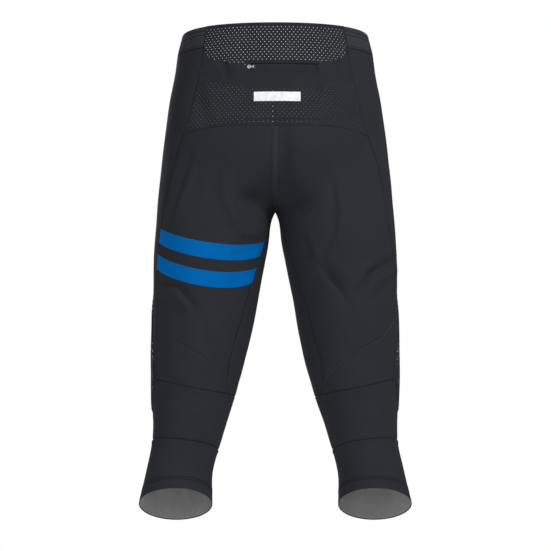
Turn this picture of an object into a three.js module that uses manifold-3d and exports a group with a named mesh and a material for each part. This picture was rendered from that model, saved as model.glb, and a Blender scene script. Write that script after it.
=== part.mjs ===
// Three-quarter length training trousers, in the shape they take when worn.
// +Z is up, the front faces -Y, and +X is the wearer's left. The origin is the centre of the waist opening.
// Lengths are millimetres. A "drop" is a height measured downwards from the waist edge.
import * as THREE from "three";
import { mergeVertices } from "three/addons/utils/BufferGeometryUtils.js";
import Module from "manifold-3d";

const wasm = await Module();
wasm.setup();

// ---- Driving dimensions ----
const crotchDrop = 283.5;
const hemDrop = 741;
const bandHeight = 34; // waistband
const clothThickness = 0.9;
const seamGap = 0.7; // between neighbouring panels
const layerGap = 0.5; // between layers that lie on each other
const frontWaistDip = 28; // the waist edge is this much lower at the centre front
const waistSlopeEnd = 230; // by this drop the dip has died out

// Outline of the body and of one leg: [drop, distance].
const outerSide = profile([[0, 146.5], [30, 153.5], [60, 157.5], [110, 166.5], [170, 174.5], [230, 180.5],
  [crotchDrop, 185.5], [360, 190], [450, 191], [545, 192], [640, 190.3], [690, 199.7], [hemDrop, 210.6]]);
const innerSide = profile([[crotchDrop, 0.8], [296, 5], [327, 9], [360, 15.4], [422, 27], [485, 39],
  [545, 54.5], [580, 64.7], [640, 83.5], [690, 96.7], [hemDrop, 96.8]]);
const bodyBack = profile([[0, 106], [60, 111], [110, 118], [190, 126], [250, 121], [340, 108]]);
const bodyFront = profile([[0, 108], [60, 112], [110, 114], [190, 110], [crotchDrop, 102], [340, 96]]);
const legBack = profile([[crotchDrop, 111], [360, 97], [450, 82], [545, 70], [640, 60], [690, 64], [hemDrop, 78]]);
const legFront = profile([[crotchDrop, 99], [360, 93], [450, 87], [545, 78], [640, 56], [690, 48], [hemDrop, 38]]);
const legTilt = profile([[545, 0], [640, 0.03], [700, 0.2], [hemDrop, 0.29]]); // rise per mm backwards
const squareness = 0.03; // how far the body's section bulges past an ellipse

// Where the crotch seam leaves the body, and where the leg's section is fully round.
const seatCurveStart = 185;
const legRoundDrop = 350;
const seamSharpness = 8;

// Seam lines round one half: around = 0 is the outer side, 1 the centre back, -1 the centre front.
const inseamTwist = profile([[286, 0.02], [333, 0.112], [359, 0.14], [410, 0.187], [463, 0.225], [560, 0.215], [hemDrop, 0.2]]);
const backSideSeam = profile([[0, 0.5], [34, 0.5], [174, 0.408], [244, 0.262], [313, 0.165], [374, 0.126],
  [460, 0.132], [546, 0.158]]);
const frontSideSeam = profile([[0, -0.34], [34, -0.34], [174, -0.3], [244, -0.22], [313, -0.16], [374, -0.135],
  [460, -0.14], [546, -0.158]]);
const insertTop = 400; // the mesh insert at the knee: a diamond on the outer side
const insertWide = 546;
const insertBottom = 605;
const insertCorner = 0.05; // share of its width left off at each sharp corner
const yokeBottomCentre = 165;
const yokeBottomFall = 9;
const yokeCornerDrop = 174; // the fall and the drop of the yoke's lower corners

// Film stripes round the back of the left thigh.
const stripeLowPoint = { upper: 347, lower: 389 };
const stripeWidth = 23.7;
const stripeCurve = 121;
const stripeCentre = 0.675;
const filmThickness = 0.3;
const filmGap = 0.8; // clear of the flat facets of the panel under it
const stripeEndInset = 0.02; // share of the panel's width left bare beside each seam

// Reflective strip on the yoke.
const reflector = { drop: 119.5, height: 15, width: 72, centre: -3 };

// Zip pocket in the yoke.
const zip = { drop: 71, windowHeight: 12, from: 39, to: -66, tapeHeight: 13, tapeOverlap: 6, slit: 0.8,
  tapeThickness: 0.8, coilWidth: 2.6, coilDepth: 1.6, coilGap: 0.3 };
const slider = { length: 7.5, width: 6, plate: 1, bridge: 0.4, bridgeLength: 2.4, restX: 34, cornerRadius: 1.6 };
const bail = { halfWidth: 1.6, legThickness: 0.6, legLength: 1.3, pinHeight: 1.35, pinRadius: 0.45 };
const puller = { discRadius: 3.1, thickness: 1.1, reach: 6.4, eyeRadius: 1.15, eyeHole: 0.65, eyeWidth: 1.6,
  neck: 1.5 };
const pocket = { halfWidth: 62, bottomDrop: 158, sheet: 0.6, belowTape: 2.2, behindZip: 7, flatFrom: 84,
  flatTo: 120 };
const elastic = { height: 26, thickness: 1 };
const seamTape = { width: 8, thickness: 0.6, rows: 7 };

// Colours, roughness and metalness.
const darkKnit = cloth(0x2c2d30);
const darkMesh = cloth(0x2b2c30);
const greyInside = cloth(0x6b6b6e);
const blueFilm = new THREE.MeshStandardMaterial({ color: 0x0a5ba0, roughness: 0.55 });
const whiteFilm = new THREE.MeshStandardMaterial({ color: 0xf2f2f2, roughness: 0.4 });
const tealTape = cloth(0x2a3436);
const paleTape = cloth(0xd8d8d6);
const moulded = new THREE.MeshStandardMaterial({ color: 0x25292b, roughness: 0.4 });
const silver = new THREE.MeshStandardMaterial({ color: 0xc6c9cc, roughness: 0.35, metalness: 0.9 });

function cloth(colour) {
  return new THREE.MeshStandardMaterial({ color: colour, roughness: 0.9, metalness: 0 });
}

// A smooth curve through [position, value] stations, straight beyond its ends' values.
function profile(stations) {
  const slope = (i, j) => (stations[j][1] - stations[i][1]) / (stations[j][0] - stations[i][0]);
  const last = stations.length - 1;
  const tangents = stations.map((station, i) => {
    if (i === 0) return slope(0, 1);
    if (i === last) return slope(last - 1, last);
    return (slope(i - 1, i) + slope(i, i + 1)) / 2;
  });
  return (position) => {
    if (position <= stations[0][0]) return stations[0][1];
    if (position >= stations[last][0]) return stations[last][1];
    const i = stations.findIndex((station, k) => k < last && position <= stations[k + 1][0]);
    const span = stations[i + 1][0] - stations[i][0];
    const t = (position - stations[i][0]) / span;
    const t2 = t * t;
    const t3 = t2 * t;
    return (2 * t3 - 3 * t2 + 1) * stations[i][1] + (t3 - 2 * t2 + t) * span * tangents[i] +
      (3 * t2 - 2 * t3) * stations[i + 1][1] + (t3 - t2) * span * tangents[i + 1];
  };
}

const mix = (a, b, t) => a + (b - a) * t;
const smooth = (from, to, value) => THREE.MathUtils.smoothstep(value, from, to);

// ---- The surface of one half of the garment ----
// Angle round the leg, in half turns: 0 at the outer side. The inseam lies a little to the back.
const legTurn = (around, drop) => around - inseamTwist(drop) * around * around;

function bodyPoint(around, drop) {
  const angle = (around * Math.PI) / 2;
  const bulge = 1 + squareness * Math.sin(2 * angle) ** 2;
  const depth = around > 0 ? bodyBack(drop) : bodyFront(drop);
  const towardsFront = -Math.sin(angle);
  const dip = (frontWaistDip * (towardsFront + Math.sqrt(towardsFront ** 2 + 0.1))) / 2.05;
  const fade = 1 - smooth(bandHeight, waistSlopeEnd, drop);
  return new THREE.Vector3(outerSide(drop) * Math.cos(angle) * bulge, depth * Math.sin(angle) * bulge,
    -drop - dip * fade);
}

function legPoint(around, drop) {
  const angle = Math.PI * legTurn(around, drop);
  const centreX = (outerSide(drop) + innerSide(drop)) / 2;
  const halfWidth = (outerSide(drop) - innerSide(drop)) / 2;
  const centreY = (legBack(drop) - legFront(drop)) / 2;
  const halfDepth = (legBack(drop) + legFront(drop)) / 2;
  const y = halfDepth * Math.sin(angle);
  return new THREE.Vector3(centreX + halfWidth * Math.cos(angle), centreY + y, -drop + legTilt(drop) * y);
}

// The centre seam curves under between the legs as a quarter of an ellipse.
function legShare(around, drop) {
  const fall = THREE.MathUtils.clamp((drop - seatCurveStart) / (crotchDrop - seatCurveStart), 0, 1);
  const atSeam = 1 - Math.sqrt(1 - fall * fall);
  const elsewhere = smooth(seatCurveStart, legRoundDrop, drop);
  return mix(elsewhere, atSeam, Math.abs(around) ** seamSharpness);
}

function surfacePoint(side, around, drop) {
  const point = bodyPoint(around, drop).lerp(legPoint(around, drop), legShare(around, drop));
  point.x *= side;
  return point;
}

function surfaceNormal(side, around, drop) {
  const step = 0.004;
  const reach = 0.6;
  const before = surfacePoint(side, Math.max(around - step, -1), drop);
  const after = surfacePoint(side, Math.min(around + step, 1), drop);
  const above = surfacePoint(side, around, Math.max(drop - reach, 0));
  const below = surfacePoint(side, around, Math.min(drop + reach, hemDrop));
  return after.sub(before).cross(above.sub(below)).normalize().multiplyScalar(side);
}

// ---- Solids ----
// A sheet with thickness. locate(p, q) gives { side, around, drop }, with p and q from 0 to 1, columns and rows
// list the p and q values, and outer and inner are the distances of its two faces from the surface.
function sheet({ locate, columns, rows, outer = 0, inner = -clothThickness, ring = false, gap = seamGap / 2 }) {
  const offset = (value, p, q) => (typeof value === "function" ? value(p, q) : value);
  const faces = [outer, inner].map((value) => rows.map((q) => columns.map((p) => {
    const { side, around, drop } = locate(p, q);
    const normal = surfaceNormal(side, around, drop);
    return surfacePoint(side, around, drop).addScaledVector(normal, offset(value, p, q));
  })));
  faces.forEach((grid) => drawIn(grid, gap, ring));
  const [rowCount, columnCount] = [rows.length, columns.length];
  const positions = faces.flat(2).flatMap((point) => point.toArray());
  const at = (face, row, column) => (face * rowCount + row) * columnCount + (column % columnCount);
  const triangles = [];
  const quad = (a, b, c, d) => triangles.push(a, b, c, a, c, d);
  const columnSteps = ring ? columnCount : columnCount - 1;
  for (let row = 0; row < rowCount - 1; row += 1) {
    for (let column = 0; column < columnSteps; column += 1) {
      quad(at(0, row, column), at(0, row + 1, column), at(0, row + 1, column + 1), at(0, row, column + 1));
      quad(at(1, row, column), at(1, row, column + 1), at(1, row + 1, column + 1), at(1, row + 1, column));
    }
  }
  for (let column = 0; column < columnSteps; column += 1) {
    const last = rowCount - 1;
    quad(at(0, 0, column), at(0, 0, column + 1), at(1, 0, column + 1), at(1, 0, column));
    quad(at(0, last, column), at(1, last, column), at(1, last, column + 1), at(0, last, column + 1));
  }
  if (!ring) {
    for (let row = 0; row < rowCount - 1; row += 1) {
      const last = columnCount - 1;
      quad(at(0, row, 0), at(1, row, 0), at(1, row + 1, 0), at(0, row + 1, 0));
      quad(at(0, row, last), at(0, row + 1, last), at(1, row + 1, last), at(1, row, last));
    }
  }
  return facingOut(positions, triangles);
}

// Moves the border of a grid of points inwards, square to the border, so that neighbours keep their gap.
function drawIn(grid, distance, ring) {
  const moves = [];
  const pull = (edge, inside, closed) => edge.forEach((point, i) => {
    const count = edge.length;
    const before = closed ? edge[(i + count - 1) % count] : edge[Math.max(i - 1, 0)];
    const after = closed ? edge[(i + 1) % count] : edge[Math.min(i + 1, count - 1)];
    const along = after.clone().sub(before).normalize();
    const inward = inside[i].clone().sub(point);
    inward.addScaledVector(along, -inward.dot(along)).setLength(distance);
    moves.push([point, inward]);
  });
  pull(grid[0], grid[1], ring);
  pull(grid.at(-1), grid.at(-2), ring);
  if (!ring) {
    pull(grid.map((row) => row[0]), grid.map((row) => row[1]), false);
    pull(grid.map((row) => row.at(-1)), grid.map((row) => row.at(-2)), false);
  }
  moves.forEach(([point, inward]) => point.add(inward));
}

// A closed mesh with its faces outwards, whichever way its triangles were wound.
function facingOut(positions, triangles) {
  const corner = (i) => new THREE.Vector3().fromArray(positions, 3 * i);
  let volume = 0;
  for (let i = 0; i < triangles.length; i += 3) {
    volume += corner(triangles[i]).dot(corner(triangles[i + 1]).cross(corner(triangles[i + 2])));
  }
  const geometry = new THREE.BufferGeometry();
  geometry.setAttribute("position", new THREE.Float32BufferAttribute(positions, 3));
  geometry.setIndex(volume < 0 ? triangles.toReversed() : triangles);
  return geometry;
}

const steps = (count) => Array.from({ length: count + 1 }, (unused, i) => i / count);
const ringSteps = (count) => Array.from({ length: count }, (unused, i) => i / count);

function toManifold(geometry) {
  const bare = geometry.clone().deleteAttribute("normal").deleteAttribute("uv");
  const merged = mergeVertices(bare, 1e-4);
  return new wasm.Manifold(new wasm.Mesh({
    numProp: 3,
    vertProperties: new Float32Array(merged.attributes.position.array),
    triVerts: new Uint32Array(merged.index.array),
  }));
}

function fromManifold(solid) {
  const mesh = solid.getMesh();
  const geometry = new THREE.BufferGeometry();
  geometry.setAttribute("position", new THREE.BufferAttribute(mesh.vertProperties, 3));
  geometry.setIndex(new THREE.BufferAttribute(mesh.triVerts, 1));
  return geometry;
}

const joined = (...pieces) => fromManifold(pieces.map(toManifold).reduce((whole, piece) => whole.add(piece)));
const cut = (piece, tool) => fromManifold(toManifold(piece).subtract(toManifold(tool)));

const trousers = new THREE.Group();

function add(name, geometry, material, parent = trousers) {
  const mesh = new THREE.Mesh(geometry, material);
  mesh.name = name;
  parent.add(mesh);
  return mesh;
}

// ---- Seams as functions of the place along them ----
function cuffSeamDrop(around) {
  const angle = Math.PI * legTurn(around, insertWide);
  return 559 - 13 * Math.cos(angle) + 8 * Math.sin(angle) ** 2;
}

// The calf section's top edge, with the notch that takes the lower half of the mesh insert.
function calfTopDrop(around) {
  const corner = backSideSeam(insertWide);
  if (Math.abs(around) >= corner) return cuffSeamDrop(around);
  return mix(insertBottom, cuffSeamDrop(corner), Math.abs(around) / corner);
}

const midCalfDrop = (around) => 644.5 - 6 * Math.cos(Math.PI * legTurn(around, 640));
const kneeSeamDrop = (p) => 460 + 104 * p ** 0.72;

function yokeBottomDrop(fromCentreBack) {
  const past = Math.max(0, Math.abs(fromCentreBack) - 0.3) / 0.292;
  return yokeBottomCentre + yokeBottomFall * past ** 2;
}

// ---- Legs ----
// Rows that crowd together where the centre seam turns under, then run evenly down the leg.
function legRows(topDrop, bottomDrop, { seat, thigh }) {
  const drops = [];
  for (let i = 0; i <= seat; i += 1) drops.push(mix(topDrop, crotchDrop, Math.sin((i / seat) * (Math.PI / 2))));
  for (let i = 1; i <= thigh; i += 1) drops.push(mix(crotchDrop, bottomDrop, i / thigh));
  return drops;
}

const rowNumbers = ({ seat, thigh }) => Array.from({ length: seat + thigh + 1 }, (unused, i) => i);

const panelColumns = steps(12);
const sideColumns = steps(6);
const backRows = { seat: 8, thigh: 8 };
const frontRows = { seat: 9, thigh: 8 };

function addLeg(side, suffix) {
  // Back: seat and thigh, from the yoke down to the slanting knee seam.
  const backLeg = (p, row) => {
    const top = yokeBottomDrop((1 - p) * (1 - backSideSeam(yokeCornerDrop)));
    const drop = legRows(top, kneeSeamDrop(p), backRows)[row];
    return { side, around: mix(backSideSeam(drop), 1, p), drop };
  };
  add(`back_leg_${suffix}`, sheet({ locate: backLeg, columns: panelColumns, rows: rowNumbers(backRows) }),
    darkKnit);

  // Front: from the waistband down to the calf seam.
  const frontLeg = (p, row) => {
    const bottom = cuffSeamDrop(mix(-1, frontSideSeam(insertWide), p));
    const drop = legRows(bandHeight, bottom, frontRows)[row];
    return { side, around: mix(-1, frontSideSeam(drop), p), drop };
  };
  add(`front_leg_${suffix}`, sheet({ locate: frontLeg, columns: panelColumns, rows: rowNumbers(frontRows) }),
    darkKnit);

  // Back of the knee, below the slanting seam.
  const backKnee = (p, q) => {
    const around = mix(backSideSeam(insertWide), 1, p);
    const drop = mix(kneeSeamDrop(p), cuffSeamDrop(around), q);
    return { side, around: mix(backSideSeam(drop), 1, p), drop };
  };
  add(`back_knee_${suffix}`, sheet({ locate: backKnee, columns: panelColumns, rows: steps(4) }), darkKnit);

  // Side panel, from the waistband to the upper edges of the mesh insert.
  const insertEdge = (p, tip) => mix(tip, insertWide, Math.abs(2 * p - 1));
  const sidePanel = (p, q) => {
    const drop = mix(bandHeight, insertEdge(p, insertTop), q);
    return { side, around: mix(frontSideSeam(drop), backSideSeam(drop), p), drop };
  };
  add(`side_panel_${suffix}`, sheet({ locate: sidePanel, columns: sideColumns, rows: steps(16) }), darkKnit);

  // Mesh insert at the knee.
  const insert = (p, q) => {
    const drop = mix(insertEdge(p, insertTop), insertEdge(p, insertBottom), q);
    return { side, around: mix(frontSideSeam(drop), backSideSeam(drop), p), drop };
  };
  const insertColumns = [insertCorner, ...sideColumns.slice(1, -1), 1 - insertCorner];
  add(`side_mesh_${suffix}`, sheet({ locate: insert, columns: insertColumns, rows: steps(6) }), darkMesh);

  // Calf section, then the cuff down to the hem. Each is a tube round the leg.
  const calfColumns = tubeColumns();
  const calf = (p, q) => {
    const around = 2 * p - 1;
    return { side, around, drop: mix(calfTopDrop(around), midCalfDrop(around), q) };
  };
  add(`calf_${suffix}`, sheet({ locate: calf, columns: calfColumns, rows: steps(4), ring: true }), darkKnit);
  const cuff = (p, q) => {
    const around = 2 * p - 1;
    return { side, around, drop: mix(midCalfDrop(around), hemDrop, q) };
  };
  add(`cuff_${suffix}`, sheet({ locate: cuff, columns: calfColumns, rows: steps(5), ring: true }), darkKnit);
}

// Places round a leg's tube, with columns at the tip and the corners of the mesh insert.
function tubeColumns() {
  const corner = backSideSeam(insertWide);
  const coarse = [0, 0.5, 1].map((share) => share * corner);
  const rest = steps(11).slice(1, -1).map((share) => mix(corner, 1, share));
  const half = [...coarse, ...rest];
  const arounds = [-1, ...half.slice(1).map((value) => -value).reverse(), ...half];
  return arounds.map((value) => (value + 1) / 2);
}

addLeg(1, "left");
addLeg(-1, "right");

// ---- Yoke and waistband ----
// Across the back: across = 0 at the centre back, positive to the wearer's left.
const acrossBack = (across, drop) => ({ side: across < 0 ? -1 : 1, around: 1 - Math.abs(across), drop });
const acrossFront = (across, drop) => ({ side: across < 0 ? -1 : 1, around: Math.abs(across) - 1, drop });

const yokeColumns = steps(24);
const yokeEdge = (drop) => 1 - backSideSeam(drop);

function yokePlace(p, q) {
  const bottom = yokeBottomDrop((2 * p - 1) * yokeEdge(yokeCornerDrop));
  const drop = mix(0, bottom, q);
  return acrossBack((2 * p - 1) * yokeEdge(drop), drop);
}

// The zip runs on an arc about an upright axis inside the body, so everything on it turns about that axis.
const zipCentre = surfacePoint(1, 1, zip.drop);
const zipUp = surfacePoint(1, 1, zip.drop - 5).sub(surfacePoint(1, 1, zip.drop + 5)).normalize();
const zipOut = new THREE.Vector3(0, zipUp.z, -zipUp.y);
const aroundAtX = (x, drop) => (2 / Math.PI) * Math.asin(x / outerSide(drop)); // across the back
const windowEnd = surfacePoint(1, 1 - aroundAtX(-zip.to, zip.drop), zip.drop);
const windowSag = zipCentre.clone().sub(windowEnd).dot(zipOut);
const zipRadius = (windowEnd.x ** 2 + windowSag ** 2) / (2 * windowSag);
const zipGroup = new THREE.Group();
zipGroup.position.copy(zipCentre).addScaledVector(zipOut, -zipRadius);
zipGroup.rotation.x = Math.atan2(zipOut.z, zipOut.y);
trousers.add(zipGroup);

// A plate on the zip's arc: radial offsets from the cloth's outer face, x along the arc, heights along the axis.
function arcPlate({ near, far, fromX, toX, low, high, pieces = 16 }) {
  const positions = [];
  for (let i = 0; i <= pieces; i += 1) {
    const angle = mix(fromX, toX, i / pieces) / zipRadius;
    for (const [radial, height] of [[near, low], [far, low], [far, high], [near, high]]) {
      const radius = zipRadius + radial;
      positions.push(radius * Math.sin(angle), radius * Math.cos(angle), height);
    }
  }
  const triangles = [];
  const quad = (a, b, c, d) => triangles.push(a, b, c, a, c, d);
  for (let i = 0; i < pieces; i += 1) {
    for (let k = 0; k < 4; k += 1) {
      const next = (k + 1) % 4;
      quad(4 * i + k, 4 * i + next, 4 * (i + 1) + next, 4 * (i + 1) + k);
    }
  }
  quad(3, 2, 1, 0);
  quad(4 * pieces, 4 * pieces + 1, 4 * pieces + 2, 4 * pieces + 3);
  return facingOut(positions, triangles);
}

// The yoke is one perforated panel with a window for the zip.
const yokeSheet = sheet({ locate: yokePlace, columns: yokeColumns, rows: steps(10) });
zipGroup.updateMatrix();
const zipWindow = arcPlate({ near: -6, far: 6, fromX: zip.from, toX: zip.to,
  low: -zip.windowHeight / 2, high: zip.windowHeight / 2 }).applyMatrix4(zipGroup.matrix);
add("back_yoke", cut(yokeSheet, zipWindow), darkMesh);

const underCloth = -clothThickness - layerGap;
const underElastic = underCloth - elastic.thickness - layerGap;
const backFacing = (p, q) => acrossBack((2 * p - 1) * yokeEdge(0), q * bandHeight);
add("back_waist_facing", sheet({ locate: backFacing, columns: yokeColumns, rows: steps(2),
  outer: underElastic, inner: underElastic - clothThickness }), darkMesh);

const bandColumns = steps(30);
const bandEdge = 1 + backSideSeam(0);
const band = (p, q) => acrossFront((2 * p - 1) * bandEdge, q * bandHeight);
add("waistband", sheet({ locate: band, columns: bandColumns, rows: steps(2) }), darkKnit);
add("waistband_facing", sheet({ locate: band, columns: bandColumns, rows: steps(2),
  outer: underElastic, inner: underElastic - clothThickness }), darkKnit);
const elasticTop = (bandHeight - elastic.height) / 2;
const elasticBand = (p, q) => acrossFront((2 * p - 1) * bandEdge, elasticTop + q * elastic.height);
add("waist_elastic", sheet({ locate: elasticBand, columns: bandColumns, rows: steps(1),
  outer: underCloth, inner: underCloth - elastic.thickness }), greyInside);

// Pale tape over the centre front seam, on the inside.
const frontTape = (p, row) => {
  const drop = legRows(bandHeight, cuffSeamDrop(-1), frontRows)[row];
  const halfSpan = seamTape.width / Math.PI / outerSide(drop);
  return acrossFront((2 * p - 1) * halfSpan, drop);
};
const tapeRows = rowNumbers(frontRows).slice(0, seamTape.rows);
add("front_seam_tape", sheet({ locate: frontTape, columns: steps(2), rows: tapeRows,
  outer: underCloth, inner: underCloth - seamTape.thickness }), paleTape);

// ---- Films on the outside ----
function addStripe(name, lowPoint) {
  const place = (p, q) => {
    let drop = lowPoint;
    let around = 0;
    for (let pass = 0; pass < 4; pass += 1) {
      around = mix(backSideSeam(drop), 1, p);
      drop = lowPoint - stripeCurve * (around - stripeCentre) ** 2 + q * stripeWidth;
    }
    return { side: 1, around, drop };
  };
  const columns = [stripeEndInset, ...panelColumns.slice(1, -1), 1 - stripeEndInset];
  add(name, sheet({ locate: place, columns, rows: steps(2), gap: 0,
    outer: filmGap + filmThickness, inner: filmGap }), blueFilm);
}
addStripe("stripe_upper", stripeLowPoint.upper);
addStripe("stripe_lower", stripeLowPoint.lower);

const reflectorPlace = (p, q) => {
  const x = reflector.centre + reflector.width * (0.5 - p);
  const drop = reflector.drop + reflector.height * (q - 0.5);
  return acrossBack(aroundAtX(x, drop), drop);
};
add("reflective_strip", sheet({ locate: reflectorPlace, columns: steps(8), rows: steps(1), gap: 0,
  outer: filmGap + filmThickness, inner: filmGap }), whiteFilm);

// ---- Zip ----
const tapeOuter = underCloth - 0.3;
const tapeInner = tapeOuter - zip.tapeThickness;
const tapeFrom = zip.from + zip.tapeOverlap;
const tapeTo = zip.to - zip.tapeOverlap;
const coilOuter = tapeInner - zip.coilGap;
const coilInner = coilOuter - zip.coilDepth;
for (const [name, up] of [["upper", 1], ["lower", -1]]) {
  const span = (near, far) => (up > 0 ? { low: near, high: far } : { low: -far, high: -near });
  add(`zip_tape_${name}`, arcPlate({ near: tapeInner, far: tapeOuter, fromX: tapeFrom, toX: tapeTo,
    ...span(zip.slit / 2, zip.tapeHeight) }), tealTape, zipGroup);
  add(`zip_coil_${name}`, arcPlate({ near: coilInner, far: coilOuter, fromX: zip.from, toX: zip.to,
    ...span(zip.slit / 2, zip.slit / 2 + zip.coilWidth) }), moulded, zipGroup);
}
for (const [name, x] of [["left", zip.from + 2.6], ["right", zip.to - 2.6]]) {
  add(`zip_stop_${name}`, arcPlate({ near: coilInner, far: coilOuter, fromX: x + 1.2, toX: x - 1.2,
    low: -zip.coilWidth, high: zip.coilWidth, pieces: 1 }), silver, zipGroup);
}

// Slider: an outer and an inner plate joined by a thin bridge that runs in the slit, with a bail on top.
const sliderGroup = new THREE.Group();
sliderGroup.rotation.z = -slider.restX / zipRadius;
zipGroup.add(sliderGroup);

function box(width, depth, height, x, y, z) {
  return new THREE.BoxGeometry(width, depth, height).translate(x, y, z);
}

function roundedPlate(length, width, radius, fromY, toY) {
  const shape = new THREE.Shape();
  const [x, z] = [length / 2, width / 2];
  shape.moveTo(x - radius, -z);
  shape.absarc(x - radius, -z + radius, radius, -Math.PI / 2, 0);
  shape.absarc(x - radius, z - radius, radius, 0, Math.PI / 2);
  shape.absarc(-x + radius, z - radius, radius, Math.PI / 2, Math.PI);
  shape.absarc(-x + radius, -z + radius, radius, Math.PI, 1.5 * Math.PI);
  const geometry = new THREE.ExtrudeGeometry(shape, { depth: toY - fromY, bevelEnabled: false, curveSegments: 4 });
  return geometry.rotateX(Math.PI / 2).translate(0, toY, 0);
}

// Slider heights above the zip's axis.
const plateLow = zipRadius + tapeOuter + 0.3;
const plateHigh = plateLow + slider.plate;
const innerPlateHigh = zipRadius + coilInner - 0.4;
const innerPlateLow = innerPlateHigh - slider.plate;
const pinHeight = plateHigh + bail.pinHeight;
const overlap = 0.1; // joined pieces run this far into each other

const bridgeHeight = plateLow - innerPlateHigh + 2 * overlap;
const legHeight = bail.pinHeight + bail.pinRadius + overlap;
const bailLegs = [-1, 1].map((end) => box(bail.legLength, legHeight, bail.legThickness,
  0, plateHigh - overlap + legHeight / 2, end * (bail.halfWidth - bail.legThickness / 2)));
const pin = new THREE.CylinderGeometry(bail.pinRadius, bail.pinRadius, 2 * bail.halfWidth - bail.legThickness, 12)
  .rotateX(Math.PI / 2).translate(0, pinHeight, 0);
add("zip_slider", joined(
  roundedPlate(slider.length, slider.width, slider.cornerRadius, plateLow, plateHigh),
  roundedPlate(slider.length, slider.width, slider.cornerRadius, innerPlateLow, innerPlateHigh),
  box(slider.bridgeLength, bridgeHeight, slider.bridge, 0, (plateLow + innerPlateHigh) / 2, 0),
  ...bailLegs,
  pin,
), silver, sliderGroup);

// Puller: an eye round the slider's pin, a short neck and a round tab. At rest it lies along the cloth, past the
// closed end of the zip.
function eyeRing() {
  const shape = new THREE.Shape().absarc(0, 0, puller.eyeRadius, 0, 2 * Math.PI);
  shape.holes.push(new THREE.Path().absarc(0, 0, puller.eyeHole, 0, 2 * Math.PI, true));
  return new THREE.ExtrudeGeometry(shape, { depth: puller.eyeWidth, bevelEnabled: false, curveSegments: 8 })
    .translate(0, pinHeight, -puller.eyeWidth / 2);
}

const neckFrom = puller.eyeHole + 0.15;
const neckTo = puller.reach - puller.discRadius + 0.5;
add("zip_puller", joined(
  eyeRing(),
  box(neckTo - neckFrom, puller.thickness, puller.neck, (neckFrom + neckTo) / 2, pinHeight, 0),
  new THREE.CylinderGeometry(puller.discRadius, puller.discRadius, puller.thickness, 28)
    .translate(puller.reach, pinHeight, 0),
), silver, sliderGroup);

// ---- Pocket bag: two net sheets behind the yoke, lying flat on each other below the zip ----
const pocketCentre = (zip.from + zip.to) / 2;
function pocketPlace(topDrop) {
  return (p, q) => {
    const x = pocketCentre + pocket.halfWidth * (1 - 2 * p);
    const drop = mix(topDrop, pocket.bottomDrop, q);
    return acrossBack(aroundAtX(x, drop), drop);
  };
}
const frontSheetTop = zip.drop + zip.tapeHeight + pocket.belowTape;
add("pocket_bag_front", sheet({ locate: pocketPlace(frontSheetTop), columns: steps(10), rows: steps(4),
  outer: underCloth, inner: underCloth - pocket.sheet }), darkMesh);
const backSheetTop = zip.drop - zip.tapeHeight;
const backSheetOuter = (p, q) => {
  const drop = mix(backSheetTop, pocket.bottomDrop, q);
  const flat = underCloth - pocket.sheet - layerGap;
  return mix(-pocket.behindZip, flat, smooth(pocket.flatFrom, pocket.flatTo, drop));
};
add("pocket_bag_back", sheet({ locate: pocketPlace(backSheetTop), columns: steps(10), rows: steps(6),
  outer: backSheetOuter, inner: (p, q) => backSheetOuter(p, q) - pocket.sheet }), darkMesh);

export default trousers;
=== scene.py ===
import math

import bmesh
import bpy
import numpy as np
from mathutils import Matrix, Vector


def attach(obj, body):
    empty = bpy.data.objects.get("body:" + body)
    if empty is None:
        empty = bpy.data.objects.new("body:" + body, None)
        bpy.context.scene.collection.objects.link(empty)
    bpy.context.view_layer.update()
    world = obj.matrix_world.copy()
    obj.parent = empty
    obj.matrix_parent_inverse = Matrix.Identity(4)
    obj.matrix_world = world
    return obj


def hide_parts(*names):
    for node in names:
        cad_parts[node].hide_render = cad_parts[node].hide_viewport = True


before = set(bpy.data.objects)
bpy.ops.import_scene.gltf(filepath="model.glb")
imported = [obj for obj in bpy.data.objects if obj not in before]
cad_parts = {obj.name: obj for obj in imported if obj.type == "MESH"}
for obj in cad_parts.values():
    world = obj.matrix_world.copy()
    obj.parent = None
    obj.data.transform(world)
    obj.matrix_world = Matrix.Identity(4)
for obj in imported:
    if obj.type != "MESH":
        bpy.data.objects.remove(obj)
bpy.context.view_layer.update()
print("frame loaded")

# Lengths are millimetres until a mesh is made. A drop is a height measured downwards from the waist edge.
# Around runs over one half of the garment: 0 at the outer side, 1 at the centre back, -1 at the centre front.
mm = 0.001

garment = {
    "crotchDrop": 283.5, "hemDrop": 741, "bandHeight": 34, "frontWaistDip": 28, "waistSlopeEnd": 230,
    "squareness": 0.03, "seatCurveStart": 185, "legRoundDrop": 350, "seamSharpness": 8,
    "clothThickness": 0.7, "halfGirth": 230,
    "yokeEndDrop": 174, "insertTop": 400, "insertCorner": 546, "insertTip": 605, "inseamAround": 0.9995,
}


def curveThrough(stations):
    places, values = np.array(stations, float).T
    slopes = np.diff(values) / np.diff(places)
    tangents = np.concatenate([slopes[:1], (slopes[:-1] + slopes[1:]) / 2, slopes[-1:]])

    def valueAt(place):
        place = np.clip(place, places[0], places[-1])
        i = np.clip(np.searchsorted(places, place, side="left") - 1, 0, len(places) - 2)
        span = places[i + 1] - places[i]
        t = (place - places[i]) / span
        return ((2 * t**3 - 3 * t**2 + 1) * values[i] + (t**3 - 2 * t**2 + t) * span * tangents[i]
                + (3 * t**2 - 2 * t**3) * values[i + 1] + (t**3 - t**2) * span * tangents[i + 1])

    return valueAt


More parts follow.
